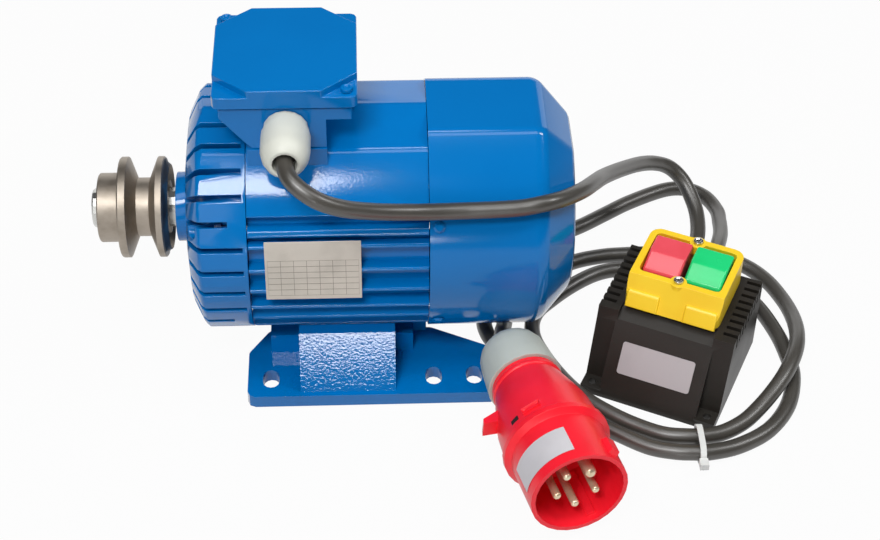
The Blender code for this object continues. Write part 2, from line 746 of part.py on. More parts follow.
def make_foot(name, side):
    """One bolted-on foot: a slotted plate with a sloping pedestal under the frame."""
    front = HOLE_X - FOOT_FRONT_MARGIN
    rear = HOLE_X + FOOT_LONG + FOOT_REAR_MARGIN
    outline = [(front, FOOT_HALF_WIDTH), (rear, FOOT_HALF_WIDTH), (rear, FOOT_CUT_START),
               (rear - FOOT_REAR_CUT, FOOT_INNER_EDGE), (front + FOOT_FRONT_CUT, FOOT_INNER_EDGE),
               (front, FOOT_CUT_START)]
    outline = [(x, side * y) for x, y in rounded(outline, FOOT_CORNER)]
    slots = []
    for reach in (0.0, FOOT_SHORT, FOOT_LONG):
        slots.append(stadium(FOOT_SLOT_WIDTH, FOOT_SLOT_LENGTH, (HOLE_X + reach, side * FOOT_SPAN / 2)))
    foot = place(name, prism_mesh([outline] + slots, "XY", 0.0, FOOT_PLATE), "blue_paint")

    seat = FRAME_RADIUS + GAP
    sunk = FOOT_PLATE / 2
    inner = FOOT_INNER_EDGE + 0.002

    def block(label, foot_edge, top_edge, height, low, high):
        """A block whose back follows the round underside of the frame."""
        seat_top = -math.asin((SHAFT_HEIGHT - height) / seat)
        seat_low = -math.acos(inner / seat)
        profile = [(foot_edge, sunk), (foot_edge, FOOT_PLATE), (top_edge, height)]
        profile += lifted(arc(seat, seat_top, seat_low, SEAT_STEPS))
        profile.append((inner, sunk))
        mesh = prism_mesh([[(side * y, z) for y, z in profile]], "YZ", low, high)
        boolean(foot, cutter(label, mesh), 'UNION')

    start = HOLE_X + PEDESTAL_START
    end = start + PEDESTAL_LENGTH
    block(name + "_pedestal", PEDESTAL_FOOT_EDGE, PEDESTAL_TOP_EDGE, PEDESTAL_HEIGHT, start, end)
    block(name + "_gusset", GUSSET_FOOT_EDGE, GUSSET_TOP_EDGE, GUSSET_HEIGHT,
          start - GUSSET_FRONT, end + GUSSET_REAR)


def dome_curve(face_radius, radius, depth, face, steps=DOME_STEPS):
    """Quarter ellipse from the shield's face to its outer wall, as (radius, x)."""
    points = []
    for i in range(steps + 1):
        angle = math.pi / 2 * i / steps
        points.append((face_radius + (radius - face_radius) * math.sin(angle),
                       face + depth * (1 - math.cos(angle))))
    return points


def rib_gap_plate(end):
    """One gap between ribs: a plate whose inner edge follows the dome."""
    inner = dome_curve(DOME_FACE_RADIUS, FIN_ROOT, DOME_DEPTH - RIB_DEPTH, SHIELD_A + RIB_DEPTH)
    floor = DOME_FACE_RADIUS
    beyond = DOME_RADIUS + 0.010
    ahead = SHIELD_A - 0.010
    loop = [(x, r) for r, x in inner]
    loop += [(end, FIN_ROOT), (end, beyond), (ahead, beyond), (ahead, floor)]
    return prism_mesh([loop], "XY", -RIB_GAP / 2, RIB_GAP / 2)


def shield_gaps():
    pitch = 2 * math.pi / FIN_COUNT
    long_gap = rib_gap_plate(SHIELD_B - SHIELD_RIM)
    short_gap = rib_gap_plate(SHIELD_B - LUG_LENGTH)
    plates = []
    for angle in pitch_angles(RIB_GAP_LAG):
        beside_lug = abs(abs(angle) - BOLT_ANGLE) < 0.6 * pitch
        plate = short_gap if beside_lug else long_gap
        for around in (angle, math.pi - angle):
            plates.append(moved(plate, Matrix.Rotation(around, 4, 'X')))
    return joined(plates)


def make_drive_shield():
    boss_end = SHIELD_A - BOSS_LENGTH
    profile = [(0, boss_end), (BOSS_RADIUS, boss_end), (BOSS_RADIUS, SHIELD_A)]
    profile += dome_curve(DOME_FACE_RADIUS, DOME_RADIUS, DOME_DEPTH, SHIELD_A)
    profile += [(DOME_RADIUS, SHIELD_B), (0, SHIELD_B)]
    shield = turned("drive_shield", profile, "blue_paint", steps=SHIELD_STEPS, closed=False)
    section = round_section(FRAME_RADIUS, FRAME_FLATS)
    boolean(shield, cutter("shield_section", prism_mesh([lifted(section)], "YZ", boss_end - 0.01, SHIELD_B)),
            'INTERSECT')
    boolean(shield, cutter("shield_gaps", shield_gaps(), AXIS_POINT))

    bearing_end = DRIVE_BEARING_A + BEARING_WIDTH
    hub_end = bearing_end + 0.001
    cavity_face = SHIELD_A + SHIELD_FACE_WALL
    seat = BEARING_OUTER + GAP
    shaft_hole = BEARING_BORE + 0.001
    void = [(0, boss_end - 0.01), (SEAL_RADIUS + GAP, boss_end - 0.01),
            (SEAL_RADIUS + GAP, boss_end + SEAL_WIDTH + GAP), (shaft_hole, boss_end + SEAL_WIDTH + GAP),
            (shaft_hole, DRIVE_BEARING_A - GAP), (seat, DRIVE_BEARING_A - GAP), (seat, hub_end),
            (HUB_RADIUS, hub_end), (HUB_RADIUS, cavity_face), (DOME_FACE_RADIUS, cavity_face),
            (SHIELD_CAVITY, SHIELD_A + DOME_DEPTH), (SHIELD_CAVITY, SHIELD_B + 0.01), (0, SHIELD_B + 0.01)]
    boolean(shield, turned_cutter("shield_void", void, steps=24))
    boolean(shield, cutter("shield_bolt_holes", bolt_rods(BOLT_RADIUS + GAP, SHIELD_A, SHIELD_B + 0.01)))
    boolean(shield, cutter("shield_bolt_recesses",
                           bolt_rods(BOLT_HEAD_RADIUS + 3 * GAP, SHIELD_A - 0.01, SHIELD_B - BOLT_RECESS)))


def make_rear_shield():
    section = round_section(COVER_RADIUS - COVER_WALL - GAP, COVER_FLATS)
    shield = place("rear_shield", prism_mesh([lifted(section)], "YZ", COVER_A, COVER_A + REAR_FLANGE),
                   "blue_paint")
    boolean(shield, turned_cutter("rear_hub", [(0, COVER_A + 0.001), (HUB_RADIUS, COVER_A + 0.001),
                                               (HUB_RADIUS, REAR_HUB_END), (0, REAR_HUB_END)], steps=26),
            'UNION')
    seat = BEARING_OUTER + GAP
    shaft_hole = FAN_SEAT_RADIUS + 0.001
    void = [(0, COVER_A - 0.01), (seat, COVER_A - 0.01), (seat, REAR_SEAT_END), (shaft_hole, REAR_SEAT_END),
            (shaft_hole, REAR_HUB_END + 0.01), (0, REAR_HUB_END + 0.01)]
    boolean(shield, turned_cutter("rear_void", void, steps=24))
    boolean(shield, cutter("rear_bolt_holes", bolt_rods(BOLT_RADIUS + GAP, COVER_A - 0.01, COVER_B)))
    boolean(shield, cutter("rear_screw_holes", cover_screw_rods(COVER_SCREW_RADIUS + GAP)))


def make_tie_bolts():
    head_seat = SHIELD_B - BOLT_RECESS - GAP
    end = COVER_A + REAR_FLANGE
    profile = [(0, head_seat - BOLT_HEAD_LENGTH), (BOLT_HEAD_RADIUS, head_seat - BOLT_HEAD_LENGTH),
               (BOLT_HEAD_RADIUS, head_seat), (BOLT_RADIUS, head_seat), (BOLT_RADIUS, end), (0, end)]
    for i, (y, h) in enumerate(bolt_places()):
        turned("tie_bolt_%d" % (i + 1), profile, "bright_steel", steps=8, closed=False,
               location=(0, y, SHAFT_HEIGHT + h))


def cover_screw_matrices():
    """Places of the four cover screws, local Z pointing out of the cover."""
    matrices = []
    for side in (-1, 1):
        for level in (-1, 1):
            y, h = polar(1.0, COVER_SCREW_ANGLE)
            outward = Vector((0, side * y, level * h))
            spot = outward * COVER_RADIUS + Vector((COVER_A + COVER_SCREW_INSET, 0, SHAFT_HEIGHT))
            turn_matrix = outward.to_track_quat('Z', 'Y').to_matrix().to_4x4()
            matrices.append(Matrix.Translation(spot) @ turn_matrix)
    return matrices


def cover_screw_rods(radius):
    rod = rod_mesh(radius, -COVER_SCREW_LENGTH - GAP, 0.003, sides=8)
    return joined([moved(rod, matrix) for matrix in cover_screw_matrices()])


def make_cover_screws():
    half = COVER_SCREW_HEAD * 0.6
    profile = [(0, COVER_SCREW_HEAD_HEIGHT + GAP), (half, COVER_SCREW_HEAD_HEIGHT + GAP),
               (COVER_SCREW_HEAD, COVER_SCREW_HEAD_HEIGHT / 2), (COVER_SCREW_HEAD, GAP),
               (COVER_SCREW_RADIUS, GAP), (COVER_SCREW_RADIUS, -COVER_SCREW_LENGTH),
               (0, -COVER_SCREW_LENGTH)]
    for i, matrix in enumerate(cover_screw_matrices()):
        turned("cover_screw_%d" % (i + 1), profile, "blue_paint", steps=8, closed=False,
               location=matrix.to_translation(), rotation=matrix.to_euler())


def make_fan_cover():
    shell = bmesh.new()
    rings = []
    for radius, x in ((COVER_RADIUS, COVER_A), (COVER_RADIUS, COVER_B - COVER_BEVEL),
                      (COVER_END_RADIUS + COVER_END_SOFT, COVER_B - COVER_END_SOFT / 2),
                      (COVER_END_RADIUS, COVER_B)):
        loop = lifted(round_section(radius, COVER_FLATS))
        rings.append([shell.verts.new((x, y, z)) for y, z in loop])
    for near, far in zip(rings, rings[1:]):
        for i in range(len(near)):
            j = (i + 1) % len(near)
            shell.faces.new((near[i], near[j], far[j], far[i]))
    shell.faces.new(rings[-1])
    bmesh.ops.recalc_face_normals(shell, faces=shell.faces)
    mesh = bpy.data.meshes.new("fan_cover")
    shell.to_mesh(mesh)
    shell.free()
    cover = place("fan_cover", mesh, "blue_paint")
    wall = cover.modifiers.new("wall", 'SOLIDIFY')
    wall.thickness = COVER_WALL
    wall.offset = -1.0
    wall.use_even_offset = True
    slots = []
    for radius, count in GRILLE_RINGS:
        slot = box_mesh((COVER_B - 0.01, -GRILLE_SLOT_WIDTH / 2, radius - GRILLE_SLOT_LENGTH / 2),
                        (COVER_B + 0.01, GRILLE_SLOT_WIDTH / 2, radius + GRILLE_SLOT_LENGTH / 2))
        for i in range(count):
            slots.append(moved(slot, Matrix.Rotation(2 * math.pi * i / count, 4, 'X')))
    boolean(cover, cutter("grille_slots", joined(slots), AXIS_POINT))
    boolean(cover, cutter("cover_screw_holes", cover_screw_rods(COVER_SCREW_RADIUS + GAP)))


def make_terminal_box():
    rim_base = BOX_TOP - BOX_RIM_HEIGHT
    left_rim = BOX_X - BOX_RIM_HALF
    right_rim = BOX_X + BOX_RIM_HALF
    left_neck = BOX_X - BOX_NECK_HALF
    right_neck = BOX_X + BOX_NECK_HALF
    base = BOX_SEAT + GAP
    taper = BOX_HEIGHT * 0.12
    outline = [(left_rim, BOX_TOP), (left_rim, rim_base + taper / 2), (left_neck, base + taper),
               (left_neck + taper, base), (right_neck, base), (right_neck, rim_base),
               (right_rim, rim_base), (right_rim, BOX_TOP)]
    box = place("terminal_box", prism_mesh([outline], "XZ", -BOX_HALF_DEPTH, BOX_HALF_DEPTH), "blue_paint")
    pocket = box_mesh((BOX_X - BOX_POCKET_HALF_X, -BOX_POCKET_HALF_Y, base + BOX_FLOOR),
                      (BOX_X + BOX_POCKET_HALF_X, BOX_POCKET_HALF_Y, BOX_TOP + 0.01))
    boolean(box, cutter("box_pocket", pocket))
    wire_hole = rod_mesh(WIRE_HOLE, BOX_SEAT - 0.01, BOX_SEAT + 0.01)
    boolean(box, cutter("box_wire_hole", wire_hole, (BOX_X, 0, 0)))
    gland_hole = rod_mesh(GLAND_SHANK + GAP, 0.0, BOX_HALF_DEPTH + 0.01)
    boolean(box, cutter("gland_hole", gland_hole, (BOX_X, 0, GLAND_HEIGHT), TURN_TO_FRONT))
    boolean(box, cutter("box_screw_holes", lid_screw_rods()))


def lid_screw_places():
    reach = LID_HALF - LID_SCREW_INSET
    return [(BOX_X + reach, -reach), (BOX_X - reach, reach)]


def lid_screw_rods():
    low = LID_BASE + LID_RIM - LID_SCREW_LENGTH - 0.001
    rods = []
    for x, y in lid_screw_places():
        rod = rod_mesh(LID_SCREW_RADIUS + GAP, low, LID_BASE + LID_HEIGHT, sides=10)
        rods.append(moved(rod, Matrix.Translation((x, y, 0))))
    return joined(rods)


def make_lid():
    rim = rounded(rectangle((BOX_X - LID_HALF, -LID_HALF), (BOX_X + LID_HALF, LID_HALF)), LID_CORNER)
    lid = place("terminal_lid", prism_mesh([rim], "XY", LID_BASE, LID_BASE + LID_RIM), "blue_paint")
    cut_x = LID_HALF - LID_CUT_X
    cut_y = LID_HALF - LID_CUT_Y
    crown = [(-LID_HALF, -cut_y), (-cut_x, -LID_HALF), (cut_x, -LID_HALF), (LID_HALF, -cut_y),
             (LID_HALF, cut_y), (cut_x, LID_HALF), (-cut_x, LID_HALF), (-LID_HALF, cut_y)]
    crown = [(BOX_X + x, y) for x, y in crown]
    boolean(lid, cutter("lid_crown", prism_mesh([crown], "XY", LID_BASE + LID_RIM / 2, LID_BASE + LID_HEIGHT)),
            'UNION')
    pocket = box_mesh((BOX_X - LID_POCKET_HALF, -LID_POCKET_HALF + LID_SCREW_INSET, LID_BASE - 0.01),
                      (BOX_X + LID_POCKET_HALF, LID_POCKET_HALF - LID_SCREW_INSET, LID_BASE + LID_POCKET_DEPTH))
    boolean(lid, cutter("lid_pocket", pocket))
    boolean(lid, cutter("lid_screw_holes", lid_screw_rods()))

    inner = rectangle((BOX_X - GASKET_HALF_X + GASKET_WIDTH, -GASKET_HALF_Y + GASKET_WIDTH),
                      (BOX_X + GASKET_HALF_X - GASKET_WIDTH, GASKET_HALF_Y - GASKET_WIDTH))
    outer = rectangle((BOX_X - GASKET_HALF_X, -GASKET_HALF_Y), (BOX_X + GASKET_HALF_X, GASKET_HALF_Y))
    place("lid_gasket", prism_mesh([outer, inner], "XY", BOX_TOP + GAP, BOX_TOP + GAP + GASKET_THICKNESS),
          "black_rubber")

    seat = LID_BASE + LID_RIM + GAP
    head = LID_SCREW_HEAD * 0.6
    profile = [(0, seat + head * 1.1), (head, seat + head * 1.1), (LID_SCREW_HEAD, seat + head * 0.5),
               (LID_SCREW_HEAD, seat), (LID_SCREW_RADIUS, seat),
               (LID_SCREW_RADIUS, seat - LID_SCREW_LENGTH), (0, seat - LID_SCREW_LENGTH)]
    for name, (x, y) in zip(("lid_screw_front", "lid_screw_rear"), lid_screw_places()):
        turned(name, profile, "bright_steel", steps=10, closed=False, location=(x, y, 0), rotation=(0, 0, 0))


def make_terminal_board():
    base = BOX_SEAT + BOX_FLOOR + 2 * GAP
    board = place("terminal_board", box_mesh((BOX_X - BOARD_HALF_X, -BOARD_HALF_Y, base),
                                             (BOX_X + BOARD_HALF_X, BOARD_HALF_Y, base + BOARD_THICKNESS)),
                  "black_plastic")
    studs = []
    for row in (-0.5, 0.5):
        for column in (-1, 0, 1):
            stud = rod_mesh(STUD_RADIUS, base + 0.001, base + BOARD_THICKNESS + STUD_HEIGHT, sides=6)
            studs.append(moved(stud, Matrix.Translation((BOX_X + row * STUD_PITCH, column * STUD_PITCH, 0))))
    boolean(board, cutter("studs", joined(studs)), 'UNION')
    boolean(board, cutter("board_wire_hole", rod_mesh(STUD_RADIUS, base - 0.01, base + STUD_HEIGHT, sides=8),
                          (BOX_X, STUD_PITCH / 2, 0)))


def make_gland():
    place_at = (BOX_X, 0, GLAND_HEIGHT)
    face = GLAND_FACE
    inside = BOX_POCKET_HALF_Y + GAP
    bore = CORD_RADIUS + CORD_FIT
    collar_end = face + GLAND_COLLAR_LENGTH
    neck_end = collar_end + GLAND_NECK_LENGTH
    body = [(bore, inside), (GLAND_SHANK, inside), (GLAND_SHANK, face), (GLAND_COLLAR, face),
            (GLAND_COLLAR, collar_end), (GLAND_NECK, collar_end), (GLAND_NECK, neck_end), (bore, neck_end)]
    turned("gland_body", body, "pale_plastic", steps=16, location=place_at, rotation=TURN_TO_FRONT)

    start = collar_end + GAP
    end = start + GLAND_NUT_LENGTH
    clear = GLAND_NECK + GAP
    seal_end = neck_end + 0.0035
    nut = [(clear, start), (GLAND_NUT_RADIUS, start), (GLAND_NUT_RADIUS, end - 0.0105),
           (GLAND_NUT_RADIUS - 0.0010, end - 0.0060), (GLAND_NUT_RADIUS - 0.0028, end - 0.0022),
           (GLAND_NUT_RADIUS - 0.0052, end), (GLAND_MOUTH, end), (GLAND_MOUTH, seal_end + GAP),
           (clear, seal_end + GAP)]
    turned("gland_nut", nut, "pale_plastic", steps=18, location=place_at, rotation=TURN_TO_FRONT)

    lip = GLAND_MOUTH - GAP
    seal = [(bore, neck_end + GAP), (GLAND_NECK, neck_end + GAP), (GLAND_NECK, seal_end),
            (lip, seal_end), (lip, seal_end + 0.0030), (bore, seal_end + 0.0030)]
    turned("gland_seal", seal, "black_rubber", steps=16, location=place_at, rotation=TURN_TO_FRONT)


def make_nameplate():
    middle = HOLE_X + PLATE_CENTRE
    y, h = polar(FRAME_RADIUS + GAP, PLATE_ANGLE)
    place("nameplate", box_mesh((-PLATE_WIDTH / 2, -PLATE_THICKNESS, -PLATE_HEIGHT / 2),
                                (PLATE_WIDTH / 2, 0.0, PLATE_HEIGHT / 2)),
          "bare_plate", (middle, -y, SHAFT_HEIGHT + h), (-PLATE_ANGLE, 0.0, 0.0))


def make_stator():
    outer = FRAME_BORE - GAP
    inner = ROTOR_RADIUS + AIR_GAP
    turned("stator_core", [(inner, CORE_A), (outer, CORE_A), (outer, CORE_B), (inner, CORE_B)],
           "laminated_steel", steps=32)
    soft = 0.004
    for name, near, way in (("drive_winding", CORE_A - GAP, -1), ("rear_winding", CORE_B + GAP, 1)):
        far = near + way * WINDING_LENGTH
        profile = [(WINDING_INNER, near), (WINDING_OUTER, near), (WINDING_OUTER, far - way * soft),
                   (WINDING_OUTER - soft, far), (WINDING_INNER + soft, far), (WINDING_INNER, far - way * soft)]
        turned(name, profile, "copper_winding", steps=16)


def make_bearing(prefix, start):
    end = start + BEARING_WIDTH
    outer = [(BEARING_OUTER - BEARING_RACE, start), (BEARING_OUTER, start), (BEARING_OUTER, end),
             (BEARING_OUTER - BEARING_RACE, end)]
    turned(prefix + "_bearing_outer", outer, "bright_steel", steps=24)
    bore = BEARING_BORE + GAP
    inner_land = BEARING_OUTER - BEARING_RACE - 2 * GAP
    inner = [(bore, start), (inner_land, start), (inner_land, end), (bore, end)]
    turned(prefix + "_bearing_inner", inner, "bright_steel", steps=24, location=(0, 0, 0), parent=ROTOR)


def make_seal_and_washer():
    start = SHIELD_A - BOSS_LENGTH + GAP
    end = start + SEAL_WIDTH - GAP
    seal = [(BEARING_BORE + GAP, start), (SEAL_RADIUS, start), (SEAL_RADIUS, end), (BEARING_BORE + GAP, end)]
    turned("shaft_seal", seal, "black_rubber", steps=24)
    start = REAR_BEARING_A + BEARING_WIDTH + GAP
    end = start + WASHER_THICKNESS
    inner = BEARING_OUTER - BEARING_RACE
    washer = [(inner, start), (BEARING_OUTER, start), (BEARING_OUTER, end), (inner, end)]
    turned("wave_washer", washer, "bright_steel", steps=24)


def make_shaft():
    soft = 0.0010
    drive_seat = DRIVE_BEARING_A + BEARING_WIDTH + GAP
    rear_seat = REAR_BEARING_A - GAP
    rear_end = REAR_BEARING_A + BEARING_WIDTH + GAP
    groove = CLIP_A - GAP
    groove_end = CLIP_A + CLIP_THICKNESS + GAP
    profile = [(0, TIP_X), (SHAFT_END_RADIUS - soft, TIP_X), (SHAFT_END_RADIUS, TIP_X + soft),
               (SHAFT_END_RADIUS, SHOULDER_X), (BEARING_BORE, SHOULDER_X), (BEARING_BORE, drive_seat),
               (SHAFT_COLLAR_RADIUS, drive_seat), (SHAFT_COLLAR_RADIUS, CORE_A), (CORE_SEAT_RADIUS, CORE_A),
               (CORE_SEAT_RADIUS, CORE_B), (SHAFT_COLLAR_RADIUS, CORE_B), (SHAFT_COLLAR_RADIUS, rear_seat),
               (BEARING_BORE, rear_seat), (BEARING_BORE, rear_end), (FAN_SEAT_RADIUS, rear_end),
               (FAN_SEAT_RADIUS, groove), (CLIP_GROOVE, groove), (CLIP_GROOVE, groove_end),
               (FAN_SEAT_RADIUS, groove_end), (FAN_SEAT_RADIUS, SHAFT_END_X), (0, SHAFT_END_X)]
    shaft = turned("shaft", profile, "bright_steel", steps=16, closed=False, location=(0, 0, 0), parent=ROTOR)
    start, end = key_ends()
    seat = box_mesh((start - GAP, -KEY_WIDTH / 2 - GAP, SHAFT_END_RADIUS - KEY_SEAT),
                    (end + GAP, KEY_WIDTH / 2 + GAP, SHAFT_END_RADIUS + 0.01))
    boolean(shaft, cutter("key_seat", seat, parent=ROTOR))


def key_ends():
    middle = TIP_X + PULLEY_SETBACK + PULLEY_HUB_LENGTH + PULLEY_RIM + GROOVE_MOUTH / 2 - 0.003
    return middle - KEY_LENGTH / 2, middle + KEY_LENGTH / 2


def make_rotor_core():
    bore = CORE_SEAT_RADIUS + GAP
    ring_a = CORE_A - CAGE_RING_LENGTH
    ring_b = CORE_B + CAGE_RING_LENGTH
    ring_bore = CAGE_RING_RADIUS - 0.010
    profile = [(bore, CORE_A), (ring_bore, CORE_A), (ring_bore, ring_a), (CAGE_RING_RADIUS, ring_a),
               (CAGE_RING_RADIUS, CORE_A), (ROTOR_RADIUS, CORE_A), (ROTOR_RADIUS, CORE_B),
               (CAGE_RING_RADIUS, CORE_B), (CAGE_RING_RADIUS, ring_b), (ring_bore, ring_b),
               (ring_bore, CORE_B), (bore, CORE_B)]
    turned("rotor_core", profile, "laminated_steel", steps=20, location=(0, 0, 0), parent=ROTOR)


def make_pulley():
    bore = SHAFT_END_RADIUS + GAP
    face = TIP_X + PULLEY_SETBACK
    flange = face + PULLEY_HUB_LENGTH
    mouth = flange + PULLEY_RIM
    slope = (GROOVE_MOUTH - GROOVE_FLOOR) / 2
    far_mouth = mouth + GROOVE_MOUTH
    back = far_mouth + PULLEY_BACK
    soft = 0.0008
    profile = [(bore, face), (PULLEY_HUB_RADIUS - soft, face), (PULLEY_HUB_RADIUS, face + soft),
               (PULLEY_HUB_RADIUS, flange), (PULLEY_RADIUS - soft, flange + soft),
               (PULLEY_RADIUS, flange + 2 * soft), (PULLEY_RADIUS, mouth - soft / 2),
               (PULLEY_RADIUS - soft, mouth), (GROOVE_RADIUS, mouth + slope),
               (GROOVE_RADIUS, far_mouth - slope), (PULLEY_RADIUS - soft, far_mouth),
               (PULLEY_RADIUS, far_mouth + soft / 2), (PULLEY_RADIUS, back - soft),
               (PULLEY_RADIUS - soft, back), (DISH_OUTER, back), (DISH_OUTER - 0.002, back - DISH_DEPTH),
               (DISH_INNER, back - DISH_DEPTH), (DISH_INNER - 0.001, back - 0.0005), (bore, back - 0.0005)]
    pulley = turned("pulley", profile, "turned_steel", steps=28, location=(0, 0, 0), parent=ROTOR)
    start, end = key_ends()
    top = SHAFT_END_RADIUS - KEY_SEAT + KEY_HEIGHT + GAP
    boolean(pulley, cutter("pulley_keyway", box_mesh((face - 0.01, -KEY_WIDTH / 2 - GAP, 0.002),
                                                     (back + 0.01, KEY_WIDTH / 2 + GAP, top + GAP)),
                           parent=ROTOR))
    low = SHAFT_END_RADIUS - KEY_SEAT + GAP
    place("pulley_key", box_mesh((start, -KEY_WIDTH / 2, low), (end, KEY_WIDTH / 2, low + KEY_HEIGHT - GAP)),
          "bright_steel", parent=ROTOR)


def make_fan():
    bore = FAN_SEAT_RADIUS + GAP
    blades_a = FAN_A + FAN_PLATE
    profile = [(bore, FAN_A), (FAN_RADIUS, FAN_A), (FAN_RADIUS, blades_a), (FAN_HUB_RADIUS, blades_a),
               (FAN_HUB_RADIUS - 0.001, FAN_B), (bore, FAN_B)]
    fan = turned("cooling_fan", profile, "black_plastic", steps=20, location=(0, 0, 0), parent=ROTOR)
    outline = [(blades_a - 0.001, FAN_HUB_RADIUS - 0.003), (blades_a - 0.001, FAN_RADIUS - 0.0005),
               (blades_a + FAN_BLADE_WIDTH * 0.55, FAN_RADIUS - 0.0005),
               (FAN_B - 0.0005, FAN_RADIUS - 0.014), (FAN_B - 0.0005, FAN_HUB_RADIUS - 0.003)]
    blade = prism_mesh([outline], "XY", -FAN_BLADE_THICKNESS / 2, FAN_BLADE_THICKNESS / 2)
    blades = [moved(blade, Matrix.Rotation(2 * math.pi * i / FAN_BLADES, 4, 'X')) for i in range(FAN_BLADES)]
    boolean(fan, cutter("fan_blades", joined(blades), parent=ROTOR), 'UNION')

    inner = CLIP_GROOVE + GAP
    clip = turned("fan_clip", [(inner, CLIP_A), (CLIP_RADIUS, CLIP_A), (CLIP_RADIUS, CLIP_A + CLIP_THICKNESS),
                               (inner, CLIP_A + CLIP_THICKNESS)], "bright_steel", steps=20,
                  location=(0, 0, 0), parent=ROTOR)
    half = CLIP_GROOVE * 0.7
    mouth = box_mesh((CLIP_A - 0.01, -half, 0), (CLIP_A + 0.01, half, CLIP_RADIUS + 0.01))
    boolean(clip, cutter("clip_mouth", mouth, parent=ROTOR))


def make_switch_box():
    toe = -SWITCH_HALF_LENGTH
    back = SWITCH_HALF_LENGTH
    core = [(toe, 0), (back, 0), (back, SWITCH_SHOULDER), (SILL_EDGE, SWITCH_SHOULDER), (SILL_EDGE, SILL_TOP),
            (PANEL_TOP_EDGE, PANEL_TOP), (toe, SWITCH_TOE)]
    box = place("switch_box", prism_mesh([core], "YZ", -SWITCH_CORE_HALF, SWITCH_CORE_HALF), "black_plastic",
                parent=SWITCH)
    wing = [(toe, 0), (back, 0), (back, SWITCH_SHOULDER), (SHOULDER_FRONT, SWITCH_SHOULDER),
            (SHOULDER_FRONT - 0.002, SHOULDER_LIP), (LUG_BACK, LUG_PAD), (toe, LUG_PAD)]
    wings = []
    for side in (-1, 1):
        edges = sorted((side * (SWITCH_CORE_HALF - 0.001), side * SWITCH_HALF_WIDTH))
        wings.append(prism_mesh([wing], "YZ", edges[0], edges[1]))
    boolean(box, cutter("switch_wings", joined(wings), parent=SWITCH), 'UNION')
    vents = []
    for side in (-1, 1):
        edges = sorted((side * (SWITCH_HALF_WIDTH - VENT_REACH), side * (SWITCH_HALF_WIDTH + 0.01)))
        for i in range(VENT_COUNT):
            y = VENT_START + i * VENT_PITCH
            vents.append(box_mesh((edges[0], y - VENT_WIDTH / 2, SWITCH_SHOULDER - VENT_DEPTH),
                                  (edges[1], y + VENT_WIDTH / 2, SWITCH_SHOULDER + 0.01)))
    boolean(box, cutter("switch_vents", joined(vents), parent=SWITCH))
    well = box_mesh((-SWITCH_WELL_HALF_X - GAP, SWITCH_WELL_FRONT - GAP, SWITCH_WELL_FLOOR),
                    (SWITCH_WELL_HALF_X + GAP, SWITCH_WELL_BACK + GAP, SWITCH_SHOULDER + 0.01))
    boolean(box, cutter("switch_well", well, parent=SWITCH))
    holes = []
    lug_x = (SWITCH_CORE_HALF + SWITCH_HALF_WIDTH) / 2
    for side in (-1, 1):
        hole = rod_mesh(LUG_HOLE, -0.01, LUG_PAD + 0.01, sides=12)
        holes.append(moved(hole, Matrix.Translation((side * lug_x, (toe + LUG_BACK) / 2, 0))))
    boolean(box, cutter("lug_holes", joined(holes), parent=SWITCH))
    inlets = []
    for offset in INLET_OFFSETS:
        hole = rod_mesh(CORD_RADIUS + 3 * GAP, 0.0, 0.012, sides=16)
        spin = Matrix.Translation((offset, back + 0.002, INLET_HEIGHT)) @ Matrix.Rotation(math.pi / 2, 4, 'X')
        inlets.append(moved(hole, spin))
    boolean(box, cutter("inlet_holes", joined(inlets), parent=SWITCH))


def window_edges():
    return BEZEL_HALF - BEZEL_WALL, BEZEL_RIM_FRONT + BEZEL_WALL, BEZEL_BACK - BEZEL_WALL


def make_bezel():
    base = SWITCH_SHOULDER + GAP
    body = [(BEZEL_APRON, base), (BEZEL_BACK, base), (BEZEL_BACK, BEZEL_TOP), (BEZEL_RIM_FRONT, BEZEL_TOP)]
    bezel = place("switch_bezel", prism_mesh([body], "YZ", -BEZEL_HALF, BEZEL_HALF), "yellow_plastic",
                  parent=SWITCH)
    plan = rounded(rectangle((-BEZEL_HALF, BEZEL_APRON), (BEZEL_HALF, BEZEL_BACK)), BEZEL_CORNER, 4)
    plan_mesh = prism_mesh([plan], "XY", base - 0.01, BEZEL_TOP + 0.01)
    boolean(bezel, cutter("bezel_plan", plan_mesh, parent=SWITCH), 'INTERSECT')
    half, front, back = window_edges()
    window = rounded(rectangle((-half, front), (half, back)), BEZEL_CORNER - BEZEL_WALL)
    boolean(bezel, cutter("bezel_window", prism_mesh([window], "XY", base - 0.01, BEZEL_TOP + 0.01),
                          parent=SWITCH))
    tabs = []
    for y in bezel_screw_places():
        tab = rod_mesh(BEZEL_TAB, BEZEL_TOP - BEZEL_TAB_THICKNESS, BEZEL_TOP, sides=16)
        tabs.append(moved(tab, Matrix.Translation((0, y, 0))))
    boolean(bezel, cutter("bezel_tabs", joined(tabs), parent=SWITCH), 'UNION')
    holes = []
    for y in bezel_screw_places():
        hole = rod_mesh(BEZEL_SCREW_RADIUS + GAP, BLOCK_TOP - 0.01, BEZEL_TOP + 0.01, sides=10)
        holes.append(moved(hole, Matrix.Translation((0, y, 0))))
    boolean(bezel, cutter("bezel_screw_holes", joined(holes), parent=SWITCH))


def bezel_screw_places():
    half, front, back = window_edges()
    return (back + 0.0008, front - 0.0008)


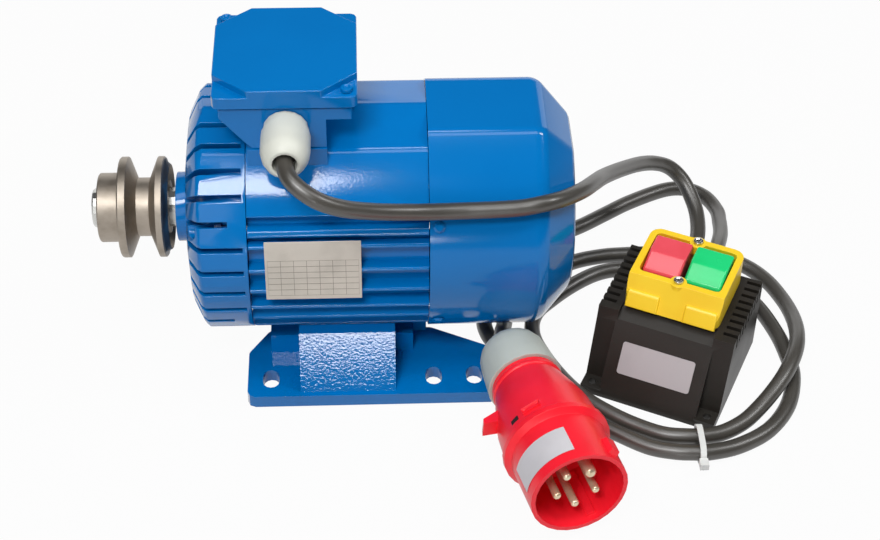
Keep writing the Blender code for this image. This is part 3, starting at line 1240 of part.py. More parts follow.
def make_bezel_screws():
    seat = BEZEL_TOP + GAP
    low = BEZEL_TOP - BEZEL_TAB_THICKNESS - 0.002
    top = seat + BEZEL_SCREW_HEAD_HEIGHT
    crown = seat + BEZEL_SCREW_HEAD_HEIGHT * 0.4
    profile = [(0, top), (BEZEL_SCREW_HEAD * 0.7, top), (BEZEL_SCREW_HEAD, crown),
               (BEZEL_SCREW_HEAD, seat), (BEZEL_SCREW_RADIUS, seat), (BEZEL_SCREW_RADIUS, low), (0, low)]
    for name, y in zip(("bezel_screw_rear", "bezel_screw_front"), bezel_screw_places()):
        turned(name, profile, "bright_steel", steps=10, closed=False, location=(0, y, 0),
               rotation=(0, 0, 0), parent=SWITCH)


def button_centres():
    half = window_edges()[0]
    width = (2 * half - 2 * BUTTON_FLOAT - BUTTON_SPLIT) / 2
    return width, (half - BUTTON_FLOAT - width / 2)


def make_buttons():
    width, reach = button_centres()
    half, front, back = window_edges()
    near = front + BEZEL_TAB
    far = back - BUTTON_FLOAT - BEZEL_TAB / 2
    middle = (near + far) / 2
    top = BEZEL_TOP + BUTTON_PROUD
    slope = near + (far - near) * BUTTON_SLOPE_START
    outline = [(near - middle, BUTTON_FOOT), (far - middle, BUTTON_FOOT), (far - middle, top),
               (slope - middle, top), (near - middle, top - BUTTON_SLOPE_DROP)]
    for name, side, finish in (("stop_button", -1, "stop_red"), ("start_button", 1, "start_green")):
        pivot = empty(name + "_slide", (side * reach, middle, 0.0))
        pivot.parent = SWITCH
        button = place(name, prism_mesh([outline], "YZ", -width / 2, width / 2), finish, parent=pivot)
        bevel = button.modifiers.new("edges", 'BEVEL')
        bevel.width = BUTTON_CHAMFER
        bevel.segments = 1
        bevel.limit_method = 'ANGLE'
        bevel.angle_limit = math.radians(20)
        stem = rod_mesh(STEM_RADIUS, BUTTON_FOOT - STEM_LENGTH, BUTTON_FOOT + 0.004, sides=12)
        boolean(button, cutter(name + "_stem", stem, parent=pivot), 'UNION')

    block = place("switch_block", box_mesh((-SWITCH_WELL_HALF_X + GAP, SWITCH_WELL_FRONT + GAP,
                                            SWITCH_WELL_FLOOR + GAP),
                                           (SWITCH_WELL_HALF_X - GAP, SWITCH_WELL_BACK - GAP, BLOCK_TOP)),
                  "black_plastic", parent=SWITCH)
    holes = []
    for side in (-1, 1):
        hole = rod_mesh(STEM_RADIUS + GAP, BLOCK_TOP - STEM_HOLE_DEPTH, BLOCK_TOP + 0.01, sides=12)
        holes.append(moved(hole, Matrix.Translation((side * reach, middle, 0))))
    boolean(block, cutter("stem_holes", joined(holes), parent=SWITCH))


def make_inlets():
    bore = CORD_RADIUS + CORD_FIT
    start = SWITCH_HALF_LENGTH + GAP
    end = start + INLET_LENGTH
    profile = [(bore, start), (INLET_RADIUS, start), (INLET_RADIUS, start + 0.006),
               (INLET_RADIUS - 0.0007, end), (bore, end)]
    profile = [(r, -y) for r, y in profile]
    for name, offset in zip(("motor_inlet", "supply_inlet"), INLET_OFFSETS):
        turned(name, profile, "black_rubber", steps=16, location=(offset, 0, INLET_HEIGHT),
               rotation=TURN_TO_FRONT, parent=SWITCH)


def make_plug():
    back = PLUG_BODY_LENGTH
    neck_end = back + PLUG_NECK_LENGTH
    carrier_end = SHROUD_DEPTH + CARRIER_THICKNESS
    ring_end = PLUG_RING_AT + PLUG_RING_WIDTH
    step = (PLUG_RING - SHROUD_RADIUS) / 2
    fall = PLUG_RING - step - PLUG_WAIST
    outer = [(SHROUD_RADIUS, 0.0), (SHROUD_RADIUS, PLUG_RING_AT - 5 * step),
             (SHROUD_RADIUS + step, PLUG_RING_AT - 2 * step), (PLUG_RING, PLUG_RING_AT),
             (PLUG_RING, ring_end - step), (PLUG_RING - step, ring_end)]
    for share in (0.25, 0.5, 0.75, 1.0):
        outer.append((PLUG_RING - step - fall * share ** PLUG_WAIST_CURVE,
                      ring_end + (PLUG_WAIST_AT - ring_end) * share))
    outer += [(PLUG_WAIST, back), (PLUG_NECK, back), (PLUG_NECK, neck_end)]
    inner = [(PLUG_WIRE_BORE, neck_end), (PLUG_WIRE_BORE, carrier_end + GAP),
             (SHROUD_BORE, carrier_end + GAP), (SHROUD_BORE, 0.0)]
    housing = turned("plug_housing", [(r, -s) for r, s in outer + inner], "red_plastic", steps=28,
                     location=(0, 0, 0), rotation=(0, 0, 0), parent=PLUG)
    rib_x = SHROUD_BORE - KEY_RIB_HEIGHT
    rib = box_mesh((rib_x, -KEY_RIB_WIDTH / 2, -SHROUD_DEPTH + 0.001),
                   (SHROUD_BORE + 0.001, KEY_RIB_WIDTH / 2, -0.004))
    rib = moved(rib, Matrix.Rotation(KEY_RIB_ANGLE, 4, 'Z'))
    boolean(housing, cutter("key_rib", rib, parent=PLUG), 'UNION')
    hook_at = ring_end + HOOK_SETBACK
    hook_outline = [(PLUG_RING - 0.010, -hook_at), (PLUG_RING + HOOK_HEIGHT - 0.003, -hook_at),
                    (PLUG_RING + HOOK_HEIGHT - 0.004, -hook_at - 0.004),
                    (PLUG_RING - 0.010, -hook_at - HOOK_LENGTH)]
    hook = prism_mesh([hook_outline], "XZ", -HOOK_WIDTH / 2, HOOK_WIDTH / 2)
    boolean(housing, cutter("hook", moved(hook, Matrix.Rotation(HOOK_ANGLE, 4, 'Z')), parent=PLUG), 'UNION')

    disc = [(0, -SHROUD_DEPTH), (SHROUD_BORE - GAP, -SHROUD_DEPTH), (SHROUD_BORE - GAP, -carrier_end),
            (0, -carrier_end)]
    carrier = turned("plug_carrier", disc, "red_plastic", steps=24, closed=False, location=(0, 0, 0),
                     rotation=(0, 0, 0), parent=PLUG)
    holes = []
    for i in range(5):
        radius = EARTH_PIN_RADIUS if i == 0 else PIN_RADIUS
        x, y = polar(PIN_CIRCLE, EARTH_PIN_ANGLE + 2 * math.pi * i / 5)
        hole = rod_mesh(radius + GAP, -SHROUD_DEPTH - PIN_SEAT, 0.01 - SHROUD_DEPTH, sides=12)
        holes.append(moved(hole, Matrix.Translation((x, y, 0))))
        base = -SHROUD_DEPTH - PIN_SEAT + GAP
        tip = -PIN_SETBACK
        soft = radius * 0.45
        profile = [(0, tip), (radius - soft, tip), (radius, tip - soft), (radius, base), (0, base)]
        name = "earth_pin" if i == 0 else "pin_%d" % i
        turned(name, profile, "brass", steps=10, closed=False, location=(x, y, 0), rotation=(0, 0, 0),
               parent=PLUG)
    boolean(carrier, cutter("pin_seats", joined(holes), parent=PLUG))

    start = back + GAP
    end = start + PLUG_NUT_LENGTH
    clear = PLUG_NECK + GAP
    bore = CORD_RADIUS + CORD_FIT
    nut = [(clear, start), (PLUG_NUT_RADIUS, start)]
    rim = PLUG_NUT_RADIUS - PLUG_NUT_TAPER
    crown = rim - PLUG_NUT_MOUTH
    for r, s in arc(1.0, 0.0, math.pi / 2, 5):
        nut.append((PLUG_NUT_MOUTH + crown * r, end - PLUG_NUT_DOME * (1 - s)))
    nut += [(bore, end), (bore, neck_end + 2 * GAP), (clear, neck_end + 2 * GAP)]
    turned("plug_nut", [(r, -s) for r, s in nut], "grey_plastic", steps=20, location=(0, 0, 0),
           rotation=(0, 0, 0), parent=PLUG)


def spline_points(route, dense=12):
    """Points on a smooth curve through the route's points."""
    nodes = [Vector(p) * 0.001 for p in route]
    nodes = [2 * nodes[0] - nodes[1]] + nodes + [2 * nodes[-1] - nodes[-2]]
    points = []
    for a, b, c, d in zip(nodes, nodes[1:], nodes[2:], nodes[3:]):
        for i in range(dense):
            t = i / dense
            points.append(0.5 * (2 * b + (c - a) * t + (2 * a - 5 * b + 4 * c - d) * t ** 2
                                 + (3 * b - a - 3 * c + d) * t ** 3))
    points.append(nodes[-2])
    return points


def even_points(route, spacing):
    """The smooth curve read at even steps, and its length."""
    points = spline_points(route)
    reach = [0.0]
    for a, b in zip(points, points[1:]):
        reach.append(reach[-1] + (b - a).length)
    count = max(2, round(reach[-1] / spacing))
    result = []
    k = 0
    for i in range(count + 1):
        target = reach[-1] * i / count
        while k < len(reach) - 2 and reach[k + 1] < target:
            k += 1
        share = (target - reach[k]) / (reach[k + 1] - reach[k])
        result.append(points[k].lerp(points[k + 1], share))
    return result, reach[-1]


def make_cord(name, route):
    points, length = even_points(route, CORD_SPACING)
    curve = bpy.data.curves.new(name, 'CURVE')
    curve.dimensions = '3D'
    curve.bevel_depth = CORD_RADIUS
    curve.bevel_resolution = 2
    curve.use_fill_caps = True
    spline = curve.splines.new('POLY')
    spline.points.add(len(points) - 1)
    for slot, point in zip(spline.points, points):
        slot.co = (*point, 1.0)
    curve.materials.append(MATERIALS["black_rubber"])
    cord = bpy.data.objects.new(name, curve)
    PARTS.objects.link(cord)
    print("%s: %.3f m long, least gap to itself %.1f mm" % (name, length, 1000 * least_gap(route)))


def least_gap(route):
    """Smallest clear distance between stretches of one cord that aren't neighbours."""
    points, length = even_points(route, CORD_RADIUS)
    apart = 10
    least = length
    for i, p in enumerate(points):
        for q in points[i + apart:]:
            least = min(least, (p - q).length)
    return least - 2 * CORD_RADIUS


def make_cable_tie():
    inner_r = CORD_RADIUS + TIE_SLACK
    outer_r = inner_r + TIE_THICKNESS
    inner = stadium(2 * inner_r, 2 * inner_r + TIE_RUN_SPACING, (0, 0))
    outer = stadium(2 * outer_r, 2 * outer_r + TIE_RUN_SPACING, (0, 0))
    swap = [[(v, u) for u, v in loop] for loop in (outer, inner)]
    tie = place("cable_tie", prism_mesh(swap, "YZ", -TIE_WIDTH / 2, TIE_WIDTH / 2), "white_nylon", TIE_AT)
    width, depth, height = TIE_HEAD
    edge = -(TIE_RUN_SPACING / 2 + inner_r + TIE_THICKNESS / 2)
    head = box_mesh((-width / 2, edge - depth, -height / 2), (width / 2, edge, height / 2))
    boolean(tie, cutter("tie_head", head, TIE_AT), 'UNION')


def finish_parts():
    for part in PARTS.objects:
        if part.type == 'MESH':
            smooth(part)
        if any(modifier.type == 'BOOLEAN' for modifier in part.modifiers):
            merge_flat_faces(part)


def merge_flat_faces(part):
    merge = part.modifiers.new("merge_flat_faces", 'DECIMATE')
    merge.decimate_type = 'DISSOLVE'
    merge.angle_limit = FLAT_ANGLE


clear_scene()
PARTS = new_collection("electric_motor")
CUTTERS = new_collection("cutters")
MATERIALS = {name: make_finish(name) for name in FINISHES}
ROTOR = empty("rotor_axis", AXIS_POINT)
SWITCH = empty("switch_place", (*SWITCH_PLACE, 0.0), (0.0, 0.0, SWITCH_TURN))
PLUG_AXIS = Vector((math.sin(PLUG_YAW) * math.cos(PLUG_TILT), -math.cos(PLUG_YAW) * math.cos(PLUG_TILT),
                    math.sin(PLUG_TILT)))
PLUG = empty("plug_place", PLUG_MOUTH, PLUG_AXIS.to_track_quat('Z', 'Y').to_euler())

make_frame()
make_foot("front_foot", -1)
make_foot("rear_foot", 1)
make_drive_shield()
make_rear_shield()
make_tie_bolts()
make_fan_cover()
make_cover_screws()
make_terminal_box()
make_lid()
make_terminal_board()
make_gland()
make_nameplate()
make_stator()
make_bearing("drive", DRIVE_BEARING_A)
make_bearing("rear", REAR_BEARING_A)
make_seal_and_washer()
make_shaft()
make_rotor_core()
make_pulley()
make_fan()
make_switch_box()
make_bezel()
make_bezel_screws()
make_buttons()
make_inlets()
make_plug()
make_cord("motor_lead", MOTOR_LEAD_ROUTE)
make_cord("supply_lead", SUPPLY_LEAD_ROUTE)
make_cable_tie()
finish_parts()
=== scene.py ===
import bpy
import json
import math
from mathutils import Matrix, Vector

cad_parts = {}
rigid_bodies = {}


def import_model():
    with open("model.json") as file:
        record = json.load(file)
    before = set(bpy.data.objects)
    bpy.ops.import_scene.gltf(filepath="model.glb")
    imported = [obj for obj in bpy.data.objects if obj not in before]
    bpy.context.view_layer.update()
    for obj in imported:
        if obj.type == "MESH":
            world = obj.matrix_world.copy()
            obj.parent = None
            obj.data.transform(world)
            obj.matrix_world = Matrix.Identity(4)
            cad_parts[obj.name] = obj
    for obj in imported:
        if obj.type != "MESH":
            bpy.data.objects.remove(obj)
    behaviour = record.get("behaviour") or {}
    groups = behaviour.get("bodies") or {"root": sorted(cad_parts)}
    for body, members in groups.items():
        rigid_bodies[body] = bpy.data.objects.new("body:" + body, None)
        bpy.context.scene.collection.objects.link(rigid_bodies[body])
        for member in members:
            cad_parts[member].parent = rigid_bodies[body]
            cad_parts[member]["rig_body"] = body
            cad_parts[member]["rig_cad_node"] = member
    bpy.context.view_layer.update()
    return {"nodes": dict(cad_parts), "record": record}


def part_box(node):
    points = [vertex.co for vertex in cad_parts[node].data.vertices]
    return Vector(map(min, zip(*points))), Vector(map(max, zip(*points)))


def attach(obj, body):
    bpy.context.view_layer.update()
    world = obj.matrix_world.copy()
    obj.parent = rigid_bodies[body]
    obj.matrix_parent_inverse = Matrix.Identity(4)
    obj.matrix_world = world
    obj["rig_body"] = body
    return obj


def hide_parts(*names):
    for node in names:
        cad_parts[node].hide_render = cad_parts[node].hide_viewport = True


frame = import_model()
nodes = frame["nodes"]
slotOf = {row["node"]: row["material_slot"] for row in frame["record"]["subparts"]}
shaftHeight = 0.090
scene = bpy.context.scene
scene.view_settings.view_transform = 'Standard'
print("frame loaded:", len(nodes), "nodes")


# camera

cameraLook = dict(place=(0.0221, -0.8842, 0.8398), right=(0.9991, -0.0409, 0.0114),
                  up=(0.0191, 0.6734, 0.7390), lens=76.97, sensor=36)


def addCamera(look):
    right = Vector(look["right"]).normalized()
    back = right.cross(Vector(look["up"])).normalized()
    up = back.cross(right)
    turn = Matrix((right, up, back)).transposed().to_4x4()
    bpy.ops.object.camera_add()
    camera = bpy.context.object
    camera.name = "photoCamera"
    camera.matrix_world = Matrix.Translation(look["place"]) @ turn
    camera.data.lens = look["lens"]
    camera.data.sensor_width = look["sensor"]
    scene.camera = camera


addCamera(cameraLook)
print("camera set")


# materials, all on one grain group

grainLook = dict(detail=1, blotchDetail=4, depth=0.0002, darkTo=0.35, lightFrom=0.55)


def newMaterial(name):
    material = bpy.data.materials.new(name)
    material.use_nodes = True
    tree = material.node_tree
    return material, tree, tree.nodes["Principled BSDF"]


def link(tree, source, target):
    tree.links.new(source, target)


def grainGroup(look):
    group = bpy.data.node_groups.new("surfaceGrain", 'ShaderNodeTree')
    for name in ("Scale", "Blotch Scale"):
        group.interface.new_socket(name, in_out='INPUT', socket_type='NodeSocketFloat')
    for name in ("Grain", "Blotch"):
        group.interface.new_socket(name, in_out='OUTPUT', socket_type='NodeSocketFloat')
    inside = group.nodes.new('NodeGroupInput')
    outside = group.nodes.new('NodeGroupOutput')
    coords = group.nodes.new('ShaderNodeTexCoord')
    for scale, result, detail in (("Scale", "Grain", look["detail"]),
                                  ("Blotch Scale", "Blotch", look["blotchDetail"])):
        noise = group.nodes.new('ShaderNodeTexNoise')
        noise.inputs["Detail"].default_value = detail
        link(group, coords.outputs["Object"], noise.inputs["Vector"])
        link(group, inside.outputs[scale], noise.inputs["Scale"])
        link(group, noise.outputs["Fac"], outside.inputs[result])
    return group


surfaceGrain = grainGroup(grainLook)


def dressed(look):
    material, tree, shader = newMaterial(look["name"])
    group = tree.nodes.new('ShaderNodeGroup')
    group.node_tree = surfaceGrain
    group.inputs["Scale"].default_value = look["grain"]
    group.inputs["Blotch Scale"].default_value = look["blotch"]
    tone = tree.nodes.new('ShaderNodeMix')
    tone.data_type = 'RGBA'
    tone.inputs["A"].default_value = (*look["dark"], 1)
    tone.inputs["B"].default_value = (*look["colour"], 1)
    spread = tree.nodes.new('ShaderNodeMapRange')
    spread.inputs["From Min"].default_value = grainLook["darkTo"]
    spread.inputs["From Max"].default_value = grainLook["lightFrom"]
    link(tree, group.outputs["Blotch"], spread.inputs["Value"])
    link(tree, spread.outputs["Result"], tone.inputs["Factor"])
    link(tree, tone.outputs["Result"], shader.inputs["Base Color"])
    rough = tree.nodes.new('ShaderNodeMapRange')
    rough.inputs["To Min"].default_value = look["rough"][0]
    rough.inputs["To Max"].default_value = look["rough"][1]
    link(tree, group.outputs["Blotch"], rough.inputs["Value"])
    link(tree, rough.outputs["Result"], shader.inputs["Roughness"])
    bump = tree.nodes.new('ShaderNodeBump')
    bump.inputs["Strength"].default_value = look["bump"]
    bump.inputs["Distance"].default_value = grainLook["depth"]
    link(tree, group.outputs["Grain"], bump.inputs["Height"])
    link(tree, bump.outputs["Normal"], shader.inputs["Normal"])
    shader.inputs["Metallic"].default_value = look.get("metal", 0)
    shader.inputs["Specular IOR Level"].default_value = look.get("gloss", 0.5)
    return material


looks = (
    dict(name="castPaint", colour=(0.000, 0.160, 0.480), dark=(0.000, 0.148, 0.45), rough=(0.07, 0.12),
         grain=650, blotch=18, bump=0.14, gloss=0.32, slot="blue_paint"),
    dict(name="footPaint", colour=(0.000, 0.160, 0.480), dark=(0.000, 0.148, 0.45), rough=(0.03, 0.06),
         grain=700, blotch=18, bump=0.24, gloss=0.45, slot="footPaint"),
    dict(name="sheetPaint", colour=(0.000, 0.160, 0.480), dark=(0.000, 0.152, 0.46), rough=(0.08, 0.14),
         grain=260, blotch=12, bump=0.02, gloss=0.32, slot="sheetPaint"),
    dict(name="turnedSteel", colour=(0.41, 0.36, 0.305), dark=(0.30, 0.26, 0.215), rough=(0.42, 0.55),
         grain=900, blotch=60, bump=0.15, metal=1, slot="turned_steel"),
    dict(name="brightSteel", colour=(0.62, 0.62, 0.60), dark=(0.5, 0.5, 0.48), rough=(0.2, 0.35),
         grain=1200, blotch=80, bump=0.08, metal=1, slot="bright_steel"),
    dict(name="laminatedSteel", colour=(0.30, 0.30, 0.31), dark=(0.2, 0.2, 0.2), rough=(0.4, 0.6),
         grain=1200, blotch=80, bump=0.2, metal=1, slot="laminated_steel"),
    dict(name="copperWinding", colour=(0.50, 0.17, 0.06), dark=(0.35, 0.1, 0.03), rough=(0.3, 0.5),
         grain=900, blotch=90, bump=0.3, metal=0.6, slot="copper_winding"),
    dict(name="pinMetal", colour=(0.80, 0.70, 0.50), dark=(0.70, 0.58, 0.38), rough=(0.2, 0.3),
         grain=1500, blotch=150, bump=0.05, metal=0.55, slot="brass"),
    dict(name="palePlastic", colour=(0.66, 0.67, 0.60), dark=(0.62, 0.63, 0.56), rough=(0.42, 0.55),
         grain=1800, blotch=50, bump=0.08, slot="pale_plastic"),
    dict(name="greyPlastic", colour=(0.51, 0.54, 0.49), dark=(0.47, 0.50, 0.45), rough=(0.42, 0.55),
         grain=1800, blotch=50, bump=0.1, slot="grey_plastic"),
    dict(name="blackPlastic", colour=(0.020, 0.017, 0.014), dark=(0.016, 0.014, 0.011), rough=(0.36, 0.5),
         grain=1500, blotch=40, bump=0.25, gloss=0.32, slot="black_plastic"),
    dict(name="blackRubber", colour=(0.054, 0.049, 0.041), dark=(0.045, 0.041, 0.034), rough=(0.34, 0.42),
         grain=1500, blotch=40, bump=0.1, gloss=1.0, slot="black_rubber"),
    dict(name="redPlastic", colour=(0.94, 0.013, 0.030), dark=(0.90, 0.010, 0.024), rough=(0.3, 0.42),
         grain=1500, blotch=40, bump=0.08, slot="red_plastic"),
    dict(name="stopRed", colour=(0.84, 0.085, 0.115), dark=(0.80, 0.075, 0.10), rough=(0.22, 0.3),
         grain=800, blotch=40, bump=0.03, slot="stop_red"),
    dict(name="startGreen", colour=(0.012, 0.66, 0.20), dark=(0.010, 0.60, 0.17), rough=(0.22, 0.3),
         grain=800, blotch=40, bump=0.03, slot="start_green"),
    dict(name="yellowPlastic", colour=(0.96, 0.65, 0.020), dark=(0.94, 0.61, 0.016), rough=(0.3, 0.42),
         grain=1500, blotch=40, bump=0.06, slot="yellow_plastic"),
    dict(name="barePlate", colour=(0.59, 0.545, 0.48), dark=(0.53, 0.49, 0.43), rough=(0.38, 0.52),
         grain=1500, blotch=60, bump=0.08, slot="bare_plate"),
    dict(name="whiteNylon", colour=(0.74, 0.76, 0.74), dark=(0.68, 0.7, 0.68), rough=(0.3, 0.42),
         grain=1500, blotch=60, bump=0.05, slot="white_nylon"),
    dict(name="plateInk", colour=(0.26, 0.23, 0.19), dark=(0.20, 0.18, 0.15), rough=(0.4, 0.5),
         grain=1500, blotch=60, bump=0.02, slot="plateInk"),
    dict(name="paperLabel", colour=(0.62, 0.60, 0.62), dark=(0.57, 0.55, 0.57), rough=(0.4, 0.5),
         grain=1500, blotch=30, bump=0.03, slot="paperLabel"),
    dict(name="greyLabel", colour=(0.46, 0.43, 0.44), dark=(0.42, 0.395, 0.405), rough=(0.4, 0.5),
         grain=1500, blotch=30, bump=0.03, slot="greyLabel"),
)
materials = {look["slot"]: dressed(look) for look in looks}
for nodeName, slotName in slotOf.items():
    mesh = nodes[nodeName].data
    mesh.materials.clear()
    mesh.materials.append(materials[slotName])
print("materials made:", len(materials))


# tools for the pieces

copyLook = dict(merge=0.00001, flat=0.5)   # metres, degrees


def only(piece):
    bpy.ops.object.select_all(action='DESELECT')
    piece.select_set(True)
    bpy.context.view_layer.objects.active = piece


def startEdit(piece):
    only(piece)
    bpy.ops.object.mode_set(mode='EDIT')
    bpy.ops.mesh.select_all(action='SELECT')


def endEdit():
    bpy.ops.object.mode_set(mode='OBJECT')


def startPick(piece, kind):
    only(piece)
    bpy.ops.object.mode_set(mode='EDIT')
    bpy.ops.mesh.select_mode(type=kind)
    bpy.ops.mesh.select_all(action='DESELECT')
    bpy.ops.object.mode_set(mode='OBJECT')


def pickFaces(piece, test):
    startPick(piece, 'FACE')
    for face in piece.data.polygons:
        face.select = test(face.center, face.normal)
    bpy.ops.object.mode_set(mode='EDIT')


def pickEdges(piece, test):
    startPick(piece, 'EDGE')
    points = piece.data.vertices
    for edge in piece.data.edges:
        edge.select = test(*(points[i].co for i in edge.vertices))
    bpy.ops.object.mode_set(mode='EDIT')


def pickPoints(piece, test):
    startPick(piece, 'VERT')
    for point in piece.data.vertices:
        point.select = test(point.co)
    bpy.ops.object.mode_set(mode='EDIT')


def bothEnds(test):
    return lambda a, b: test(a) and test(b)


def facesUp(centre, normal):
    return normal.z > 0.9


def fromShaft(p):
    return math.hypot(p.y, p.z - shaftHeight)


def withModifier(piece, kind, **settings):
    only(piece)
    modifier = piece.modifiers.new("step", kind)
    for key, value in settings.items():
        setattr(modifier, key, value)
    bpy.ops.object.modifier_apply(modifier="step")


def roundEdges(piece, width, segments, angle=30, free=False):
    withModifier(piece, 'BEVEL', width=width, segments=segments, limit_method='ANGLE',
                 angle_limit=math.radians(angle), use_clamp_overlap=not free)


def smooth(piece, angle=40, ribRun=None):
    only(piece)
    bpy.ops.object.shade_smooth()
    startPick(piece, 'EDGE')
    bpy.ops.object.mode_set(mode='EDIT')
    bpy.ops.mesh.edges_select_sharp(sharpness=math.radians(angle))
    bpy.ops.mesh.mark_sharp()
    endEdit()
    # ribs stay flat across, so edges along the shaft are sharp as well
    if ribRun:
        pickEdges(piece, lambda a, b: abs(a.x - b.x) > ribRun * (a - b).length)
        bpy.ops.mesh.mark_sharp()
        endEdit()
    withModifier(piece, 'WEIGHTED_NORMAL', keep_sharp=True)


def seat(piece, name, body, slotName, standsFor=(), place=None, inkOf=None):
    piece.name = name
    piece.data.name = name
    if place is not None:
        piece.matrix_world = place
    only(piece)
    bpy.ops.object.transform_apply(location=True, rotation=True, scale=True)
    piece.data.materials.clear()
    piece.data.materials.append(materials[inkOf or slotName])
    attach(piece, body)
    if standsFor:
        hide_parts(*standsFor)
    return piece


def newCube(size):
    bpy.ops.object.select_all(action='DESELECT')
    bpy.ops.mesh.primitive_cube_add(size=1)
    piece = bpy.context.object
    startEdit(piece)
    bpy.ops.transform.resize(value=size, center_override=(0, 0, 0))
    endEdit()
    return piece


def copyNode(nodeName, joined=True):
    only(nodes[nodeName])
    bpy.ops.object.duplicate()
    piece = bpy.context.object
    bpy.ops.object.parent_clear(type='CLEAR_KEEP_TRANSFORM')
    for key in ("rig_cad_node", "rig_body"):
        if key in piece:
            del piece[key]
    startEdit(piece)
    bpy.ops.mesh.remove_doubles(threshold=copyLook["merge"])
    if joined:
        bpy.ops.mesh.dissolve_limited(angle_limit=math.radians(copyLook["flat"]))
    bpy.ops.mesh.normals_make_consistent(inside=False)
    endEdit()
    return piece


def leanRim(piece, look):
    pickPoints(piece, lambda p: p.x > look["face"] and fromShaft(p) > look["radius"])
    bpy.ops.transform.translate(value=(look["shift"], 0, 0))
    endEdit()


def softCopy(look):
    piece = copyNode(look["node"], look.get("joined", True))
    if "lean" in look:
        leanRim(piece, look["lean"])
    roundEdges(piece, look["width"], look["segments"], look.get("angle", 30), look.get("free", False))
    smooth(piece, look.get("smooth", 40), look.get("ribRun"))
    return seat(piece, look["name"], look.get("body", "motor"), slotOf[look["node"]], (look["node"],),
                inkOf=look.get("ink"))


# castings and mouldings with rounded edges, the pulley's back rim sloped

rimLean = dict(face=-0.0990, radius=0.0290, shift=-0.0028)
softLooks = (
    dict(name="softShield", node="drive_shield", width=0.0004, segments=2, ink="sheetPaint",
         angle=60, smooth=50, free=True, ribRun=0.97, joined=False),
    dict(name="softFrontFoot", node="front_foot", width=0.0010, segments=3, ink="footPaint"),
    dict(name="softRearFoot", node="rear_foot", width=0.0010, segments=3, ink="footPaint"),
    dict(name="softTerminalBox", node="terminal_box", width=0.0009, segments=3, ink="sheetPaint"),
    dict(name="softLid", node="terminal_lid", width=0.0015, segments=3, ink="sheetPaint"),
    dict(name="softGlandBody", node="gland_body", width=0.0005, segments=2),
    dict(name="softGlandNut", node="gland_nut", width=0.0006, segments=2),
    dict(name="softSwitchBox", node="switch_box", width=0.0007, segments=2),
    dict(name="softBezel", node="switch_bezel", width=0.0012, segments=3),
    dict(name="softStop", node="stop_button", width=0.0004, segments=2, body="stop", angle=20),
    dict(name="softStart", node="start_button", width=0.0004, segments=2, body="start", angle=20),
    dict(name="softPulley", node="pulley", width=0.0004, segments=2, body="rotor", lean=rimLean),
    dict(name="softMotorInlet", node="motor_inlet", width=0.0005, segments=2),
    dict(name="softSupplyInlet", node="supply_inlet", width=0.0005, segments=2),
    dict(name="softPlate", node="nameplate", width=0.0002, segments=1),
)
for look in softLooks:
    softCopy(look)
print("castings softened:", len(softLooks))


# frame, its fins rounded at the tips, and the web behind the front foot

frameLook = dict(tip=0.0743, slack=0.0003, finTop=36, round=0.00105, steps=3)
webLook = dict(length=0.028, depth=0.003, inner=-0.0270, low=0.0085, high=0.0200, edge=0.0008)


def addFrame(look):
    piece = copyNode("frame_housing")
    ceiling = shaftHeight + look["tip"] * math.sin(math.radians(look["finTop"]))
    pickEdges(piece, bothEnds(lambda p: fromShaft(p) > look["tip"] - look["slack"] and p.z < ceiling))
    bpy.ops.mesh.bevel(offset=look["round"], segments=look["steps"], profile=0.5, affect='EDGES')
    endEdit()
    smooth(piece)
    return seat(piece, "finnedFrame", "motor", "blue_paint", ("frame_housing",))


def addWeb(look):
    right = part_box("frame_housing")[1].x
    piece = newCube((look["length"], look["depth"], look["high"] - look["low"]))
    roundEdges(piece, look["edge"], 3)
    smooth(piece)
    middle = (look["low"] + look["high"]) / 2
    place = Matrix.Translation((right - look["length"] / 2, look["inner"] - look["depth"] / 2, middle))
    return seat(piece, "footWeb", "motor", "blue_paint", place=place)


addFrame(frameLook)
addWeb(webLook)
print("frame finned")


# fan cover, with its pressed shoulder

coverLook = dict(taper=0.020, slack=0.0005, shoulder=0.0050, steps=6, outer=0.070, smooth=35)


def addCover(look):
    piece = copyNode("fan_cover")
    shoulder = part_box("fan_cover")[1].x - look["taper"]
    onShoulder = bothEnds(lambda p: abs(p.x - shoulder) < look["slack"] and fromShaft(p) > look["outer"])
    pickEdges(piece, onShoulder)
    bpy.ops.mesh.bevel(offset=look["shoulder"], segments=look["steps"], profile=0.5, affect='EDGES')
    endEdit()
    smooth(piece, look["smooth"])
    return seat(piece, "pressedCover", "motor", "blue_paint", ("fan_cover",), inkOf="sheetPaint")


addCover(coverLook)
print("cover pressed")


# nameplate rules, switch label

plateLook = dict(width=0.0530, height=0.0240, columns=7, rows=6, line=0.00012, thick=0.00006, angle=9.3,
                 lift=0.00042, drop=0.0050)
labelLook = dict(width=0.0460, height=0.0205, corner=0.0016, steps=4, thick=0.0003, middle=0.0227)
switchLook = dict(place=(0.2087, -0.0574), turn=-25.8, panel=(-0.0190, 0.0460), slope=(-0.4914, -0.8709))
switchFrame = (Matrix.Translation((*switchLook["place"], 0))
               @ Matrix.Rotation(math.radians(switchLook["turn"]), 4, 'Z'))


def axes(right, up, place):
    out = Vector(right).cross(Vector(up))
    turn = Matrix((right, up, out)).transposed().to_4x4()
    return Matrix.Translation(place) @ turn


